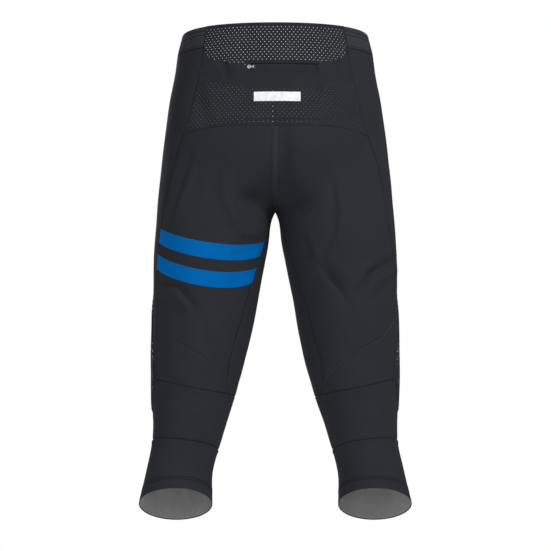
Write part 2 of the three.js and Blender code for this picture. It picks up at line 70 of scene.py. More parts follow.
outerSide = curveThrough([
    [0, 146.5], [30, 153.5], [60, 157.5], [110, 166.5], [170, 174.5], [230, 180.5], [283.5, 185.5],
    [360, 190], [450, 191], [545, 192], [640, 190.3], [690, 199.7], [741, 210.6]])
innerSide = curveThrough([
    [283.5, 0], [296, 4.6], [327, 9], [360, 15.4], [422, 27], [485, 39], [545, 54.5], [580, 64.7],
    [640, 83.5], [690, 96.7], [741, 96.8]])
bodyBack = curveThrough([[0, 106], [60, 111], [110, 118], [190, 126], [250, 121], [340, 108]])
bodyFront = curveThrough([[0, 108], [60, 112], [110, 114], [190, 110], [283.5, 102], [340, 96]])
legBack = curveThrough([[283.5, 111], [360, 97], [450, 82], [545, 70], [640, 60], [690, 64], [741, 78]])
legFront = curveThrough([[283.5, 99], [360, 93], [450, 87], [545, 78], [640, 56], [690, 48], [741, 38]])
legTilt = curveThrough([[545, 0], [640, 0.03], [700, 0.22], [741, 0.345]])
inseamTwist = curveThrough([
    [284, 0], [333, 0.112], [359, 0.14], [410, 0.187], [463, 0.225], [560, 0.215], [606, 0], [741, 0]])
backSideSeam = curveThrough([
    [0, 0.5], [34, 0.5], [174, 0.408], [244, 0.262], [313, 0.165], [374, 0.126], [460, 0.132], [546, 0.158]])
frontSideSeam = curveThrough([
    [0, -0.34], [34, -0.34], [174, -0.3], [244, -0.22], [313, -0.16], [374, -0.135], [460, -0.14],
    [546, -0.158]])


def smooth(start, end, value):
    t = np.clip((value - start) / (end - start), 0, 1)
    return t * t * (3 - 2 * t)


def mix(a, b, t):
    return a + (b - a) * t


def legTurn(around, drop):
    return around - inseamTwist(drop) * around * around


def surfacePoint(side, around, drop):
    side, around, drop = np.broadcast_arrays(side, np.asarray(around, float), np.asarray(drop, float))
    angle = around * math.pi / 2
    bulge = 1 + garment["squareness"] * np.sin(2 * angle) ** 2
    depth = np.where(around > 0, bodyBack(drop), bodyFront(drop))
    towardsFront = -np.sin(angle)
    dip = garment["frontWaistDip"] * (towardsFront + np.sqrt(towardsFront**2 + 0.1)) / 2.05
    fade = 1 - smooth(garment["bandHeight"], garment["waistSlopeEnd"], drop)
    body = np.stack([outerSide(drop) * np.cos(angle) * bulge, depth * np.sin(angle) * bulge,
                     -drop - dip * fade], -1)
    legAngle = math.pi * legTurn(around, drop)
    y = (legBack(drop) + legFront(drop)) / 2 * np.sin(legAngle)
    leg = np.stack([
        (outerSide(drop) + innerSide(drop)) / 2 + (outerSide(drop) - innerSide(drop)) / 2 * np.cos(legAngle),
        (legBack(drop) - legFront(drop)) / 2 + y, -drop + legTilt(drop) * y], -1)
    start, crotch = garment["seatCurveStart"], garment["crotchDrop"]
    fall = np.clip((drop - start) / (crotch - start), 0, 1)
    share = mix(smooth(start, garment["legRoundDrop"], drop), 1 - np.sqrt(1 - fall * fall),
                np.abs(around) ** garment["seamSharpness"])
    point = mix(body, leg, share[..., None])
    point[..., 0] *= side
    return point


def surfaceNormal(side, around, drop):
    step, reach = 0.004, 0.6
    across = (surfacePoint(side, np.minimum(around + step, 1), drop)
              - surfacePoint(side, np.maximum(around - step, -1), drop))
    upwards = (surfacePoint(side, around, np.maximum(drop - reach, 0))
               - surfacePoint(side, around, np.minimum(drop + reach, garment["hemDrop"])))
    normal = np.cross(across, upwards)
    normal = normal * np.asarray(side)[..., None]
    # no gap along the centre seam
    centred = smooth(0.96, 0.998, np.abs(around)) * (1 - smooth(280, 284, drop))
    normal[..., 0] *= 1 - np.broadcast_to(centred, normal.shape[:-1])
    return normal / np.maximum(np.linalg.norm(normal, axis=-1, keepdims=True), 1e-12)


# How the worn cloth leaves the plain form: each fold is a line of x, z points, then its half width and height.
# x runs to the wearer's left.
folds = {
    "back": [
        ([-11, -160, -13, -230, -17, -276], 12, -3.4),        # cleft of the seat
        ([79, -236, 76, -270, 66, -302, 50, -326, 29, -325, 12, -310], 9, 4.0),   # roll round the left hollow
        ([9, -272, 34, -280, 59, -272], 15, -5.2),
        ([-8, -264, -30, -282, -56, -282], 15, -4.6),         # hollow on the other side
        ([-24, -309, -44, -309, -60, -296], 4.5, 2.0),
        ([-68, -256, -71, -300, -64, -330], 9, 0.9),
        ([-86, -248, -93, -285, -90, -325, -70, -366], 6, -2.6),
        ([-98, -250, -102, -300, -96, -340], 9, 0.8),
        ([-54, -326, -60, -352, -68, -376], 4.5, 0.9),
        ([-46, -340, -54, -368], 5, -1.3),
        ([46, -342, 30, -362], 7, -0.8),
        ([108, -84, 102, -110, 88, -164], 7, 1.3),            # ridges from the waist to the seat
        ([118, -92, 116, -130, 106, -172], 7, -1.3),
        ([-108, -84, -104, -110, -96, -164], 7, 1.0),
        ([-88, -100, -80, -150], 8, -0.9),
        ([140, -186, 158, -240, 168, -290, 176, -332], 3.6, 1.1),   # drag lines beside the side seams
        ([130, -200, 150, -262, 164, -310], 4.5, -1.3),
        ([118, -205, 140, -265, 158, -308], 6, 1.2),
        ([158, -176, 167, -230, 176, -290], 3.6, 0.9),
        ([-150, -112, -163, -170], 4, 0.9),
        ([-142, -190, -160, -250, -174, -310], 4, 0.9),
        ([100, -215, 112, -270], 8, 0.7),
        ([180, -396, 149, -408, 121, -450], 6, -2.4),         # crease under the stripes
        ([176, -410, 152, -420, 132, -452], 6, 1.5),
        ([168, -430, 160, -500, 166, -540], 8, 1.0),
        ([112, -452, 106, -505], 8, -1.0),
        ([100, -462, 92, -520], 8, 1.0),
        ([66, -455, 52, -520], 8, -0.8),
        ([-70, -378, -88, -402, -112, -436], 7, -2.9),        # folds that run into the back of the knee
        ([-86, -374, -104, -390, -124, -412], 8, 1.5),
        ([-116, -420, -138, -384, -182, -348], 6, 1.9),
        ([-127, -425, -145, -394, -186, -360], 5, -2.3),
        ([-134, -430, -156, -402, -188, -376], 5, 1.9),
        ([-152, -430, -170, -408, -190, -384], 4.5, -1.5),
        ([-96, -444, -92, -500], 8, 0.9),
        ([-116, -440, -122, -490], 8, -1.0),
        ([-150, -440, -160, -500], 9, 0.9),
        ([86, -58, 72, -90], 6, -1.6),                        # drag lines at both ends of the zip
        ([74, -50, 60, -74], 6, 1.1),
        ([-60, -90, -70, -58], 5, -1.8),
        ([-76, -84, -82, -56], 6, 1.0),
        ([112, -578, 150, -584, 180, -580], 5, -0.8),
        ([-112, -578, -150, -584, -180, -580], 5, -0.8),
        ([108, -602, 172, -612], 6, 0.7),
        ([-106, -604, -170, -612], 6, 0.7),
    ],
    "front": [
        ([16, -262, 42, -256, 76, -236], 9, 2.2),
        ([-16, -262, -44, -256, -78, -236], 9, 2.2),
        ([20, -288, 52, -286, 92, -274], 9, -1.9),
        ([-20, -288, -54, -286, -94, -274], 9, -1.9),
        ([64, -520, 100, -506, 140, -508], 9, 1.6),
        ([-66, -522, -102, -506, -142, -508], 9, 1.6),
        ([62, -548, 104, -540, 150, -544], 8, -1.5),
        ([-64, -546, -106, -540, -152, -544], 8, -1.5),
        ([90, -610, 130, -602, 168, -606], 7, 1.1),
        ([-92, -610, -132, -602, -170, -606], 7, 1.1),
        ([110, -120, 92, -200, 84, -232], 11, 1.3),
        ([-110, -120, -92, -200, -84, -232], 11, 1.3),
    ],
    "strength": 1.9,
    "swell": 0.8,          # broad unevenness all over
    "swellSize": 62,
    "gatherHeight": 0.3,   # puckers that the waist elastic draws in
    "gatherPitch": 13,
    "gatherDrops": [6, 40],
    "stitchRows": [7.5, 14, 31],   # rows of stitches that hold the waist elastic, and how far they sink in
    "stitchDepth": 0.55,
    "stitchReach": 1.2,
    "zipRest": {"left": 45, "right": -72, "top": 57, "bottom": 86, "fade": 14},   # no folds round the zip
}


def foldHeight(x, z, lines):
    height = np.zeros_like(x)
    for places, width, tall in lines:
        path = np.array(places, float).reshape(-1, 2)
        steps = np.hypot(*np.diff(path, axis=0).T)
        passed = np.concatenate([[0], np.cumsum(steps)])
        nearest, at = np.full_like(x, 1e9), np.zeros_like(x)
        for i, step in enumerate(steps):
            (x0, z0), (x1, z1) = path[i], path[i + 1]
            share = np.clip(((x - x0) * (x1 - x0) + (z - z0) * (z1 - z0)) / step**2, 0, 1)
            distance = np.hypot(x - mix(x0, x1, share), z - mix(z0, z1, share))
            closer = distance < nearest
            nearest = np.where(closer, distance, nearest)
            at = np.where(closer, (passed[i] + share * step) / passed[-1], at)
        along = 0.25 + 0.75 * np.sin(math.pi * at)   # a fold fades towards both ends
        height += folds["strength"] * tall * along * np.exp(-((nearest / width) ** 2))
    return height


def relief(side, around, drop):
    point = surfacePoint(side, around, drop)
    x, y, z = point[..., 0], point[..., 1], point[..., 2]
    behind = smooth(-0.05, 0.12, np.broadcast_to(around, x.shape))
    drop = np.broadcast_to(np.asarray(drop, float), x.shape)
    rest = folds["zipRest"]
    fromZip = np.hypot(np.maximum(0, np.maximum(x - rest["left"], rest["right"] - x)),
                       np.maximum(0, np.maximum(drop - rest["bottom"], rest["top"] - drop)))
    height = (behind * smooth(0, rest["fade"], fromZip) * foldHeight(x, z, folds["back"])
              + (1 - behind) * foldHeight(x, z, folds["front"]))
    size = folds["swellSize"]
    calm = smooth(30, 200, -z) * (1 - 0.7 * smooth(640, 700, -z))
    height += folds["swell"] * calm * (
        np.sin(x / size * 2.1 + 0.7 * np.sin(z / size * 1.3 + 1)) * np.sin(z / size * 1.7 + y / size + 0.4)
        + 0.45 * np.sin(x / size * 4.7 + z / size * 2.9 + 2) * np.sin(y / size * 3.1 - z / size * 2.2))
    upper, lower = folds["gatherDrops"]
    inBand = np.clip((drop - upper) / (lower - upper), 0, 1)
    girth = garment["halfGirth"] * np.asarray(around, float)
    gather = (np.sin(2 * math.pi * girth / folds["gatherPitch"] + np.sin(girth / 17) * 1.4)
              + 0.5 * np.sin(2 * math.pi * girth / (folds["gatherPitch"] * 1.83) + 1))
    front = 1 - smooth(0.44, 0.56, np.broadcast_to(around, x.shape))
    for row in folds["stitchRows"]:
        height -= folds["stitchDepth"] * front * np.exp(-(((drop - row) / folds["stitchReach"]) ** 2))
    height += (folds["gatherHeight"] * front * np.sin(math.pi * inBand) ** 0.6 * gather
               * (1 - smooth(34, 46, drop)))
    return height


# Places of the seams
def cuffSeamDrop(around):
    angle = math.pi * legTurn(around, garment["insertCorner"])
    return 559 - 13 * np.cos(angle) + 8 * np.sin(angle) ** 2


def calfTopDrop(around):
    corner = backSideSeam(garment["insertCorner"])
    notch = mix(garment["insertTip"], cuffSeamDrop(corner), np.abs(around) / corner)
    return np.where(np.abs(around) >= corner, cuffSeamDrop(around), notch)


def midCalfDrop(around):
    return 648 - 7.5 * np.cos(math.pi * legTurn(around, 640))


kneeSeamDrop = curveThrough([
    [0, 457], [0.17, 484], [0.28, 495], [0.47, 511], [0.72, 532], [0.86, 545], [1, 563]])


def yokeBottomDrop(fromCentreBack):
    return 165 + 9 * (np.maximum(0, np.abs(fromCentreBack) - 0.3) / 0.292) ** 2


def insertEdge(p, tip):
    return mix(tip, garment["insertCorner"], np.abs(2 * p - 1))


# Materials
def colour(hexValue):
    channels = [int(hexValue[i:i + 2], 16) / 255 for i in (1, 3, 5)]
    linear = [c / 12.92 if c <= 0.04045 else ((c + 0.055) / 1.055) ** 2.4 for c in channels]
    return (*linear, 1.0)


def addNode(tree, kind, inputs=None, **settings):
    node = tree.nodes.new(kind)
    for key, value in settings.items():
        setattr(node, key, value)
    for key, value in (inputs or {}).items():
        if isinstance(value, bpy.types.NodeSocket):
            tree.links.new(value, node.inputs[key])
        else:
            node.inputs[key].default_value = value
    return node


def startMaterial(name):
    material = bpy.data.materials.new(name)
    material.use_nodes = True
    tree = material.node_tree
    tree.nodes.clear()
    return material, tree


def finishMaterial(tree, colourSocket, bumpSocket, bumpHeight, roughnessSocket=None, **surface):
    # bumpHeight is in metres, the real height of the relief
    bump = addNode(tree, "ShaderNodeBump", {"Height": bumpSocket, "Strength": 1.0, "Distance": bumpHeight})
    shader = addNode(tree, "ShaderNodeBsdfPrincipled", {"Base Color": colourSocket, "Normal": bump.outputs[0]})
    if roughnessSocket is not None:
        tree.links.new(roughnessSocket, shader.inputs["Roughness"])
    for key, value in surface.items():
        shader.inputs[key].default_value = value
    addNode(tree, "ShaderNodeOutputMaterial", {"Surface": shader.outputs[0]})


def clothMaterial(name, values):
    # Knit: columns of loops (wales) crossed by rows of loops (courses), on the cloth's own map in metres.
    material, tree = startMaterial(name)
    place = addNode(tree, "ShaderNodeUVMap", uv_map="cloth")
    wales = addNode(tree, "ShaderNodeTexWave", {
        "Vector": place.outputs[0], "Scale": 0.314 / (values["wale"] * mm), "Distortion": 0.6,
        "Detail": 1.0, "Detail Scale": 2.0}, wave_type="BANDS", bands_direction="X", wave_profile="SIN")
    courses = addNode(tree, "ShaderNodeTexWave", {
        "Vector": place.outputs[0], "Scale": 0.314 / (values["course"] * mm), "Distortion": 0.8,
        "Detail": 1.0, "Detail Scale": 2.0}, wave_type="BANDS", bands_direction="Y", wave_profile="SIN")
    loops = addNode(tree, "ShaderNodeMath", {0: wales.outputs["Fac"], 1: courses.outputs["Fac"]},
                    operation="MULTIPLY")
    fuzz = addNode(tree, "ShaderNodeTexNoise", {
        "Vector": place.outputs[0], "Scale": 1 / (values["fuzz"] * mm), "Detail": 3.0, "Roughness": 0.6})
    body = addNode(tree, "ShaderNodeTexCoord")
    wear = addNode(tree, "ShaderNodeTexNoise", {
        "Vector": body.outputs["Object"], "Scale": 1 / (values["cloud"] * mm), "Detail": 4.0,
        "Roughness": 0.55})
    cloud = addNode(tree, "ShaderNodeMapRange", {
        "Value": wear.outputs["Fac"], "From Min": 0.35, "From Max": 0.65, "To Min": 0.0, "To Max": 1.0})
    ground = addNode(tree, "ShaderNodeMix", {"Factor": cloud.outputs[0]}, data_type="RGBA")
    for socket, value in (("A", values["shade"]), ("B", values["colour"])):
        next(s for s in ground.inputs if s.name == socket and s.type == "RGBA").default_value = colour(value)
    thread = addNode(tree, "ShaderNodeMapRange", {
        "Value": loops.outputs[0], "From Min": 0.0, "From Max": 1.0,
        "To Min": 1 - values["contrast"], "To Max": 1 + values["contrast"] * 0.6})
    lift = addNode(tree, "ShaderNodeVectorMath", {
        0: next(s for s in ground.outputs if s.type == "RGBA"), "Scale": thread.outputs[0]}, operation="SCALE")
    height = addNode(tree, "ShaderNodeMath", {0: fuzz.outputs["Fac"], 1: 0.35, 2: loops.outputs[0]},
                     operation="MULTIPLY_ADD")
    rough = addNode(tree, "ShaderNodeMapRange", {
        "Value": fuzz.outputs["Fac"], "From Min": 0.3, "From Max": 0.7,
        "To Min": values["rough"] - 0.06, "To Max": values["rough"] + 0.06})
    finishMaterial(tree, lift.outputs[0], height.outputs[0], values["relief"] * mm, rough.outputs[0],
                   **{"Specular IOR Level": values["gloss"], "Sheen Weight": values["sheen"],
                      "Sheen Roughness": 0.45, "Sheen Tint": colour("#b9bcc4")})
    return material


# Polyester knit, brushed on its reverse: matt and near black, a soft pale edge where it turns away.
# Its loops are 0.5 mm in the real cloth and are drawn twice as coarse so that they show.
clothKinds = {
    "polyesterKnit": {"colour": "#303135", "shade": "#2e2f33", "wale": 1.0, "course": 0.8, "fuzz": 0.5,
                      "cloud": 55, "contrast": 0.22, "relief": 0.10, "rough": 0.9, "gloss": 0.05,
                      "sheen": 0.015},
    # The waistband's knit is the body's knit painted lighter: painted light for the light that the outward
    # bulging band catches.
    "bandKnitPaintedLight": {"colour": "#3b3c40", "shade": "#36373b", "wale": 0.9, "course": 0.9, "fuzz": 0.5,
                 "cloud": 30, "contrast": 0.2, "relief": 0.10, "rough": 0.9, "gloss": 0.05, "sheen": 0.015},
    "brushedReverse": {"colour": "#989899", "shade": "#8e8e90", "wale": 1.3, "course": 1.3, "fuzz": 0.8,
                       "cloud": 30, "contrast": 0.12, "relief": 0.16, "rough": 0.95, "gloss": 0.05,
                       "sheen": 0.05},
    # The seat seam cover's knit is the body's knit painted lighter: painted light along the raised strip.
    "seatKnitPaintedLight": {"colour": "#35363a", "shade": "#313236", "wale": 0.9, "course": 0.9, "fuzz": 0.5,
                 "cloud": 30, "contrast": 0.2, "relief": 0.10, "rough": 0.9, "gloss": 0.05, "sheen": 0.015},
    "perforatedKnit": {"colour": "#2e2f33", "shade": "#2a2b2f", "wale": 0.8, "course": 0.8, "fuzz": 0.4,
                       "cloud": 40, "contrast": 0.18, "relief": 0.07, "rough": 0.85, "gloss": 0.06,
                       "sheen": 0.015},
    "pocketNet": {"colour": "#2a2b2e", "shade": "#242528", "wale": 0.7, "course": 0.7, "fuzz": 0.4,
                  "cloud": 30, "contrast": 0.3, "relief": 0.08, "rough": 0.85, "gloss": 0.12, "sheen": 0.05},
    "wovenZipTape": {"colour": "#2c3335", "shade": "#262c2e", "wale": 0.6, "course": 1.5, "fuzz": 0.5,
                     "cloud": 20, "contrast": 0.35, "relief": 0.10, "rough": 0.8, "gloss": 0.08,
                     "sheen": 0.05},
    "satinSeamTape": {"colour": "#f6f6f4", "shade": "#ececea", "wale": 0.5, "course": 1.2, "fuzz": 0.5,
                      "cloud": 25, "contrast": 0.1, "relief": 0.05, "rough": 0.55, "gloss": 0.4,
                      "sheen": 0.05},
    "wovenElastic": {"colour": "#77777b", "shade": "#66666a", "wale": 2.2, "course": 0.9, "fuzz": 0.5,
                     "cloud": 25, "contrast": 0.3, "relief": 0.2, "rough": 0.85, "gloss": 0.2,
                     "sheen": 0.05},
}
cloths = {name: clothMaterial(name, values) for name, values in clothKinds.items()}


def filmMaterial(name, values):
    # Heat-transfer film: smooth urethane that takes a little of the knit's grain through its face.
    material, tree = startMaterial(name)
    place = addNode(tree, "ShaderNodeUVMap", uv_map="cloth")
    grain = addNode(tree, "ShaderNodeTexNoise", {
        "Vector": place.outputs[0], "Scale": 1 / (values["grain"] * mm), "Detail": 2.0, "Roughness": 0.5})
    cloud = addNode(tree, "ShaderNodeTexNoise", {
        "Vector": place.outputs[0], "Scale": 1 / (values["cloud"] * mm), "Detail": 2.0, "Roughness": 0.5})
    ramp = addNode(tree, "ShaderNodeValToRGB", {"Fac": cloud.outputs["Fac"]})
    ramp.color_ramp.elements[0].position, ramp.color_ramp.elements[0].color = 0.3, colour(values["shade"])
    ramp.color_ramp.elements[1].position, ramp.color_ramp.elements[1].color = 0.7, colour(values["colour"])
    rough = addNode(tree, "ShaderNodeMapRange", {
        "Value": grain.outputs["Fac"], "From Min": 0.3, "From Max": 0.7,
        "To Min": values["rough"] - 0.05, "To Max": values["rough"] + 0.08})
    finishMaterial(tree, ramp.outputs[0], grain.outputs["Fac"], values["relief"] * mm, rough.outputs[0],
                   **{"Specular IOR Level": values["gloss"]})
    return material


blueFilm = filmMaterial("polyurethaneFilm", {
    "colour": "#0062ac", "shade": "#005ca2", "grain": 0.8, "cloud": 60, "relief": 0.03, "rough": 0.6,
    "gloss": 0.02})
beadFilm = filmMaterial("glassBeadFilm", {
    "colour": "#f1f2f3", "shade": "#dcdee0", "grain": 0.35, "cloud": 9, "relief": 0.02, "rough": 0.35,
    "gloss": 0.6})


def plainMaterial(name, values):
    # A cast or moulded part: one colour with fine scratches or orange peel in its roughness.
    material, tree = startMaterial(name)
    place = addNode(tree, "ShaderNodeTexCoord")
    grain = addNode(tree, "ShaderNodeTexNoise", {
        "Vector": place.outputs["Object"], "Scale": 1 / (values["grain"] * mm), "Detail": 4.0,
        "Roughness": 0.65})
    ramp = addNode(tree, "ShaderNodeValToRGB", {"Fac": grain.outputs["Fac"]})
    ramp.color_ramp.elements[0].position, ramp.color_ramp.elements[0].color = 0.35, colour(values["shade"])
    ramp.color_ramp.elements[1].position, ramp.color_ramp.elements[1].color = 0.65, colour(values["colour"])
    rough = addNode(tree, "ShaderNodeMapRange", {
        "Value": grain.outputs["Fac"], "From Min": 0.3, "From Max": 0.7,
        "To Min": values["rough"] - 0.07, "To Max": values["rough"] + 0.1})
    finishMaterial(tree, ramp.outputs[0], grain.outputs["Fac"], values["relief"] * mm, rough.outputs[0],
                   **{"Metallic": values["metallic"], "Specular IOR Level": values["gloss"]})
    return material


# Die-cast zinc, plated satin: pale grey with soft highlights.
castZinc = plainMaterial("castZinc", {"colour": "#d3d6da", "shade": "#c3c6ca", "grain": 0.6,
                                      "relief": 0.01, "rough": 0.34, "metallic": 0.85, "gloss": 0.5})
# Nylon coil: dark, a little shiny on each loop.
nylonCoil = plainMaterial("nylonCoil", {"colour": "#2a2f31", "shade": "#202426", "grain": 0.5,
                                        "relief": 0.01, "rough": 0.42, "metallic": 0.0, "gloss": 0.4})
# Spun polyester thread: slightly lighter than the cloth, with its twist in the relief.
darkThread = plainMaterial("spunPolyesterThread", {
    "colour": "#242528", "shade": "#1d1e20", "grain": 0.4, "relief": 0.03, "rough": 0.8, "metallic": 0.0,
    "gloss": 0.06})
greyThread = plainMaterial("spunThreadGrey", {
    "colour": "#585960", "shade": "#4d4e54", "grain": 0.4, "relief": 0.03, "rough": 0.8, "metallic": 0.0,
    "gloss": 0.06})
blackThread = plainMaterial("spunThreadBlack", {
    "colour": "#151618", "shade": "#101112", "grain": 0.4, "relief": 0.03, "rough": 0.85, "metallic": 0.0,
    "gloss": 0.04})
print("materials made")


# Sheets of cloth: an outer face, a reverse and walls round the rim
def newPiece(name, points, faces, materials, faceSlots, clothMap):
    name = f"{name}_made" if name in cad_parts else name  # a CAD node's own name is taken
    mesh = bpy.data.meshes.new(name)
    mesh.from_pydata((np.asarray(points) * mm).tolist(), [], [tuple(int(i) for i in face) for face in faces])
    for material in materials:
        mesh.materials.append(material)
    if faceSlots is not None:
        mesh.polygons.foreach_set("material_index", np.asarray(faceSlots, np.int32))
    layer = mesh.uv_layers.new(name="cloth")
    corners = np.zeros(len(mesh.loops), np.int32)
    mesh.loops.foreach_get("vertex_index", corners)
    layer.data.foreach_set("uv", (np.asarray(clothMap) * mm)[corners].astype(np.float32).ravel())
    mesh.validate()
    mesh.shade_smooth()
    mesh.set_sharp_from_angle(angle=math.radians(50))
    piece = bpy.data.objects.new(name, mesh)
    bpy.context.collection.objects.link(piece)
    return piece


def closedSheet(outer, inner, faces):
    count = len(outer)
    directed = {(face[i], face[(i + 1) % len(face)]) for face in faces for i in range(len(face))}
    rim = sorted(edge for edge in directed if (edge[1], edge[0]) not in directed)
    back = [tuple(i + count for i in reversed(face)) for face in faces]
    walls = [(b, a, a + count, b + count) for a, b in rim]
    return np.concatenate([outer, inner]), [*faces, *back, *walls]


def turnedOut(points, faces, normals):
    turn = 0.0
    for face in faces[::37]:
        a, b, c = (points[i] for i in face[:3])
        turn += float(np.dot(np.cross(b - a, c - a), normals[face[0]]))
    return faces if turn > 0 else [tuple(reversed(face)) for face in faces]


def clothPlaces(name, places, faces, outer, thickness, materials, clothMap):
    # places: side, around and drop of each point; outer: height of the outer face over the plain form
    side, around, drop = places
    base = surfacePoint(side, around, drop)
    normal = surfaceNormal(side, around, drop)
    top = base + normal * np.asarray(outer)[..., None]
    under = base + normal * (np.asarray(outer) - thickness)[..., None]
    faces = turnedOut(top, faces, normal)
    points, allFaces = closedSheet(top, under, faces)
    slots = np.zeros(len(allFaces), int)
    if len(materials) > 1:
        slots[len(faces):2 * len(faces)] = 1
    return newPiece(name, points, allFaces, materials, slots, np.concatenate([clothMap, clothMap]))


def gridFaces(rows, columns):
    corner = np.arange((rows - 1) * columns).reshape(rows - 1, columns)[:, :-1].ravel()
    return [(a, a + columns, a + columns + 1, a + 1) for a in corner.tolist()]


def spacedSteps(length, pitch, edgeSteps=(0, 0.5, 1.1, 1.8, 2.7, 3.8)):
    # even steps, with closer ones at both ends where the cloth rolls into the seams
    ends = np.array(edgeSteps) / length
    inside = np.linspace(ends[-1], 1 - ends[-1], max(3, int((length - 2 * edgeSteps[-1]) / pitch) + 1))
    return np.concatenate([ends[:-1], inside, 1 - ends[:-1][::-1]])


sheetPlan = {"seamDepth": 1.5, "seamRoll": 3.4, "pitch": 2.7, "ribPitch": 4.2}


def lengthsAlong(points, axis):
    gaps = np.linalg.norm(np.diff(points, axis=axis), axis=-1)
    total = np.cumsum(gaps, axis=axis)
    start = np.zeros_like(np.take(total, [0], axis=axis))
    return np.concatenate([start, total], axis=axis)


def sewnPanel(name, side, locate, width, length, openEdges=(), lift=None, pitch=None, thickness=None,
              rib=0.0, rimRows=0):
    pitch = pitch or (sheetPlan["pitch"], sheetPlan["pitch"])
    p, q = np.meshgrid(spacedSteps(width, pitch[0]), spacedSteps(length, pitch[1]))
    around, drop = locate(p, q)
    base = surfacePoint(side, around, drop)
    across, down = lengthsAlong(base, 1), lengthsAlong(base, 0)
    edges = {"first": across, "last": across[:, -1:] - across, "top": down, "bottom": down[-1:] - down}
    rolled = np.zeros_like(around)
    for edge, distance in edges.items():
        if edge not in openEdges:
            near = np.clip(1 - distance / sheetPlan["seamRoll"], 0, 1)
            rolled = np.maximum(rolled, near**2)
    outer = relief(side, around, drop) - sheetPlan["seamDepth"] * rolled
    if rib:
        outer = outer + rib * np.sin(2 * math.pi * across / sheetPlan["ribPitch"]) * smooth(0, 5, edges["top"])
    for edge, (height, reach) in (lift or {}).items():
        outer = outer + height * (1 - smooth(0, reach, edges[edge]))
    faces = gridFaces(*around.shape)
    flatMap = np.stack([across, -down], -1).reshape(-1, 2)
    sides = np.full(around.size, float(side))
    piece = clothPlaces(name, (sides, around.ravel(), drop.ravel()), faces, outer.ravel(),
                        thickness or garment["clothThickness"],
                        [cloths["polyesterKnit"], cloths["brushedReverse"]], flatMap)
    for i in range(2 * len(faces) - rimRows * (around.shape[1] - 1), 2 * len(faces)):
        piece.data.polygons[i].material_index = 0   # the outer cloth turns in at the hem
    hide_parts(name)
    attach(piece, "garment")


def seatRows(top, bottom, q, share):
    crotch = garment["crotchDrop"]
    upper = mix(top, crotch, np.sin(np.clip(q / share, 0, 1) * math.pi / 2))
    return np.where(q <= share, upper, mix(crotch, bottom, (q - share) / (1 - share)))


def backLeg(p, q):
    top = yokeBottomDrop((1 - p) * (1 - backSideSeam(garment["yokeEndDrop"])))
    drop = seatRows(top, kneeSeamDrop(p), q, 0.42)
    return mix(backSideSeam(drop), 1, p), drop


def frontLeg(p, q):
    bottom = cuffSeamDrop(mix(-1, frontSideSeam(garment["insertCorner"]), p))
    drop = seatRows(garment["bandHeight"], bottom, q, 0.5)
    return mix(-1, frontSideSeam(drop), p), drop


def backKnee(p, q):
    around = mix(backSideSeam(garment["insertCorner"]), 1, p)
    drop = mix(kneeSeamDrop(p), cuffSeamDrop(around), q)
    return mix(backSideSeam(drop), 1, p), drop


def sidePanel(p, q):
    drop = mix(garment["bandHeight"], insertEdge(p, garment["insertTop"]), q)
    return mix(frontSideSeam(drop), backSideSeam(drop), p), drop


def calf(p, q):
    around = 2 * p - 1
    return around, mix(calfTopDrop(around), midCalfDrop(around), q)


def cuff(p, q):
    around = 2 * p - 1
    return around, mix(midCalfDrop(around), garment["hemDrop"], q)


for side, suffix in ((1, "left"), (-1, "right")):
    sewnPanel(f"back_leg_{suffix}", side, backLeg, 215, 345)
    sewnPanel(f"front_leg_{suffix}", side, frontLeg, 205, 540)
    sewnPanel(f"back_knee_{suffix}", side, backKnee, 190, 55)
    sewnPanel(f"side_panel_{suffix}", side, sidePanel, 90, 430)
    sewnPanel(f"calf_{suffix}", side, calf, 410, 90, lift={"bottom": (-0.5, 8), "top": (0.6, 7)})
    sewnPanel(f"cuff_{suffix}", side, cuff, 370, 98, openEdges=("bottom",), lift={"top": (0.9, 9)},
              pitch=(1.3, 2.7), rib=0.16, rimRows=2, thickness=0.9)
print("panels made")


# Perforated cloth: millimetres for each cell and its hole
perforation = {"wide": 105 / 31, "tall": 4.03, "hole": 1.2, "margin": 0.8, "everyCell": False}


def cellMesh(name, holeWide, holeTall):
    # one square cell of the cloth, whole or with an eight-sided hole
    corners = [(-0.5, -0.5, 0), (0.5, -0.5, 0), (0.5, 0.5, 0), (-0.5, 0.5, 0)]
    mesh = bpy.data.meshes.new(name)
    if holeWide:
        ring = [(holeWide / 2 * math.cos(math.radians(225 + 22.5 + 45 * i)),
                 holeTall / 2 * math.sin(math.radians(225 + 22.5 + 45 * i)), 0) for i in range(8)]
        faces = []
        for k in range(4):
            last, first = 4 + (2 * k - 1) % 8, 4 + 2 * k
            faces += [(k, first, last), (k, (k + 1) % 4, first + 1, first)]
        mesh.from_pydata(corners + ring, [], faces)
    else:
        mesh.from_pydata(corners, [], [(0, 1, 2, 3)])
    cell = bpy.data.objects.new(name, mesh)
    bpy.context.collection.objects.link(cell)
    return cell


def startTree(name, inputs):
    # gives the tree, and the identifier of each of its named inputs
    tree = bpy.data.node_groups.new(name, "GeometryNodeTree")
    for way in ("INPUT", "OUTPUT"):
        tree.interface.new_socket("Geometry", in_out=way, socket_type="NodeSocketGeometry")
    return tree, {
        key: tree.interface.new_socket(label, in_out="INPUT", socket_type=f"NodeSocket{kind}").identifier
        for key, (label, kind) in inputs.items()}


def applyTree(carrier, tree, values):
    # runs the tree on the carrier and gives back the plain mesh it makes
    modifier = carrier.modifiers.new("build", "NODES")
    modifier.node_group = tree
    for identifier, value in values.items():
        modifier[identifier] = value
    bpy.context.view_layer.update()
    shaped = carrier.evaluated_get(bpy.context.evaluated_depsgraph_get())
    mesh = bpy.data.meshes.new_from_object(shaped)
    carrier.modifiers.remove(modifier)
    return mesh


perforationTree, perforationInputs = startTree("perforatedCloth", {
    "cell": ("Cell Size", "Float"), "weld": ("Weld Distance", "Float"), "holed": ("Holed Cell", "Object"),
    "plain": ("Plain Cell", "Object"), "material": ("Material", "Material")})


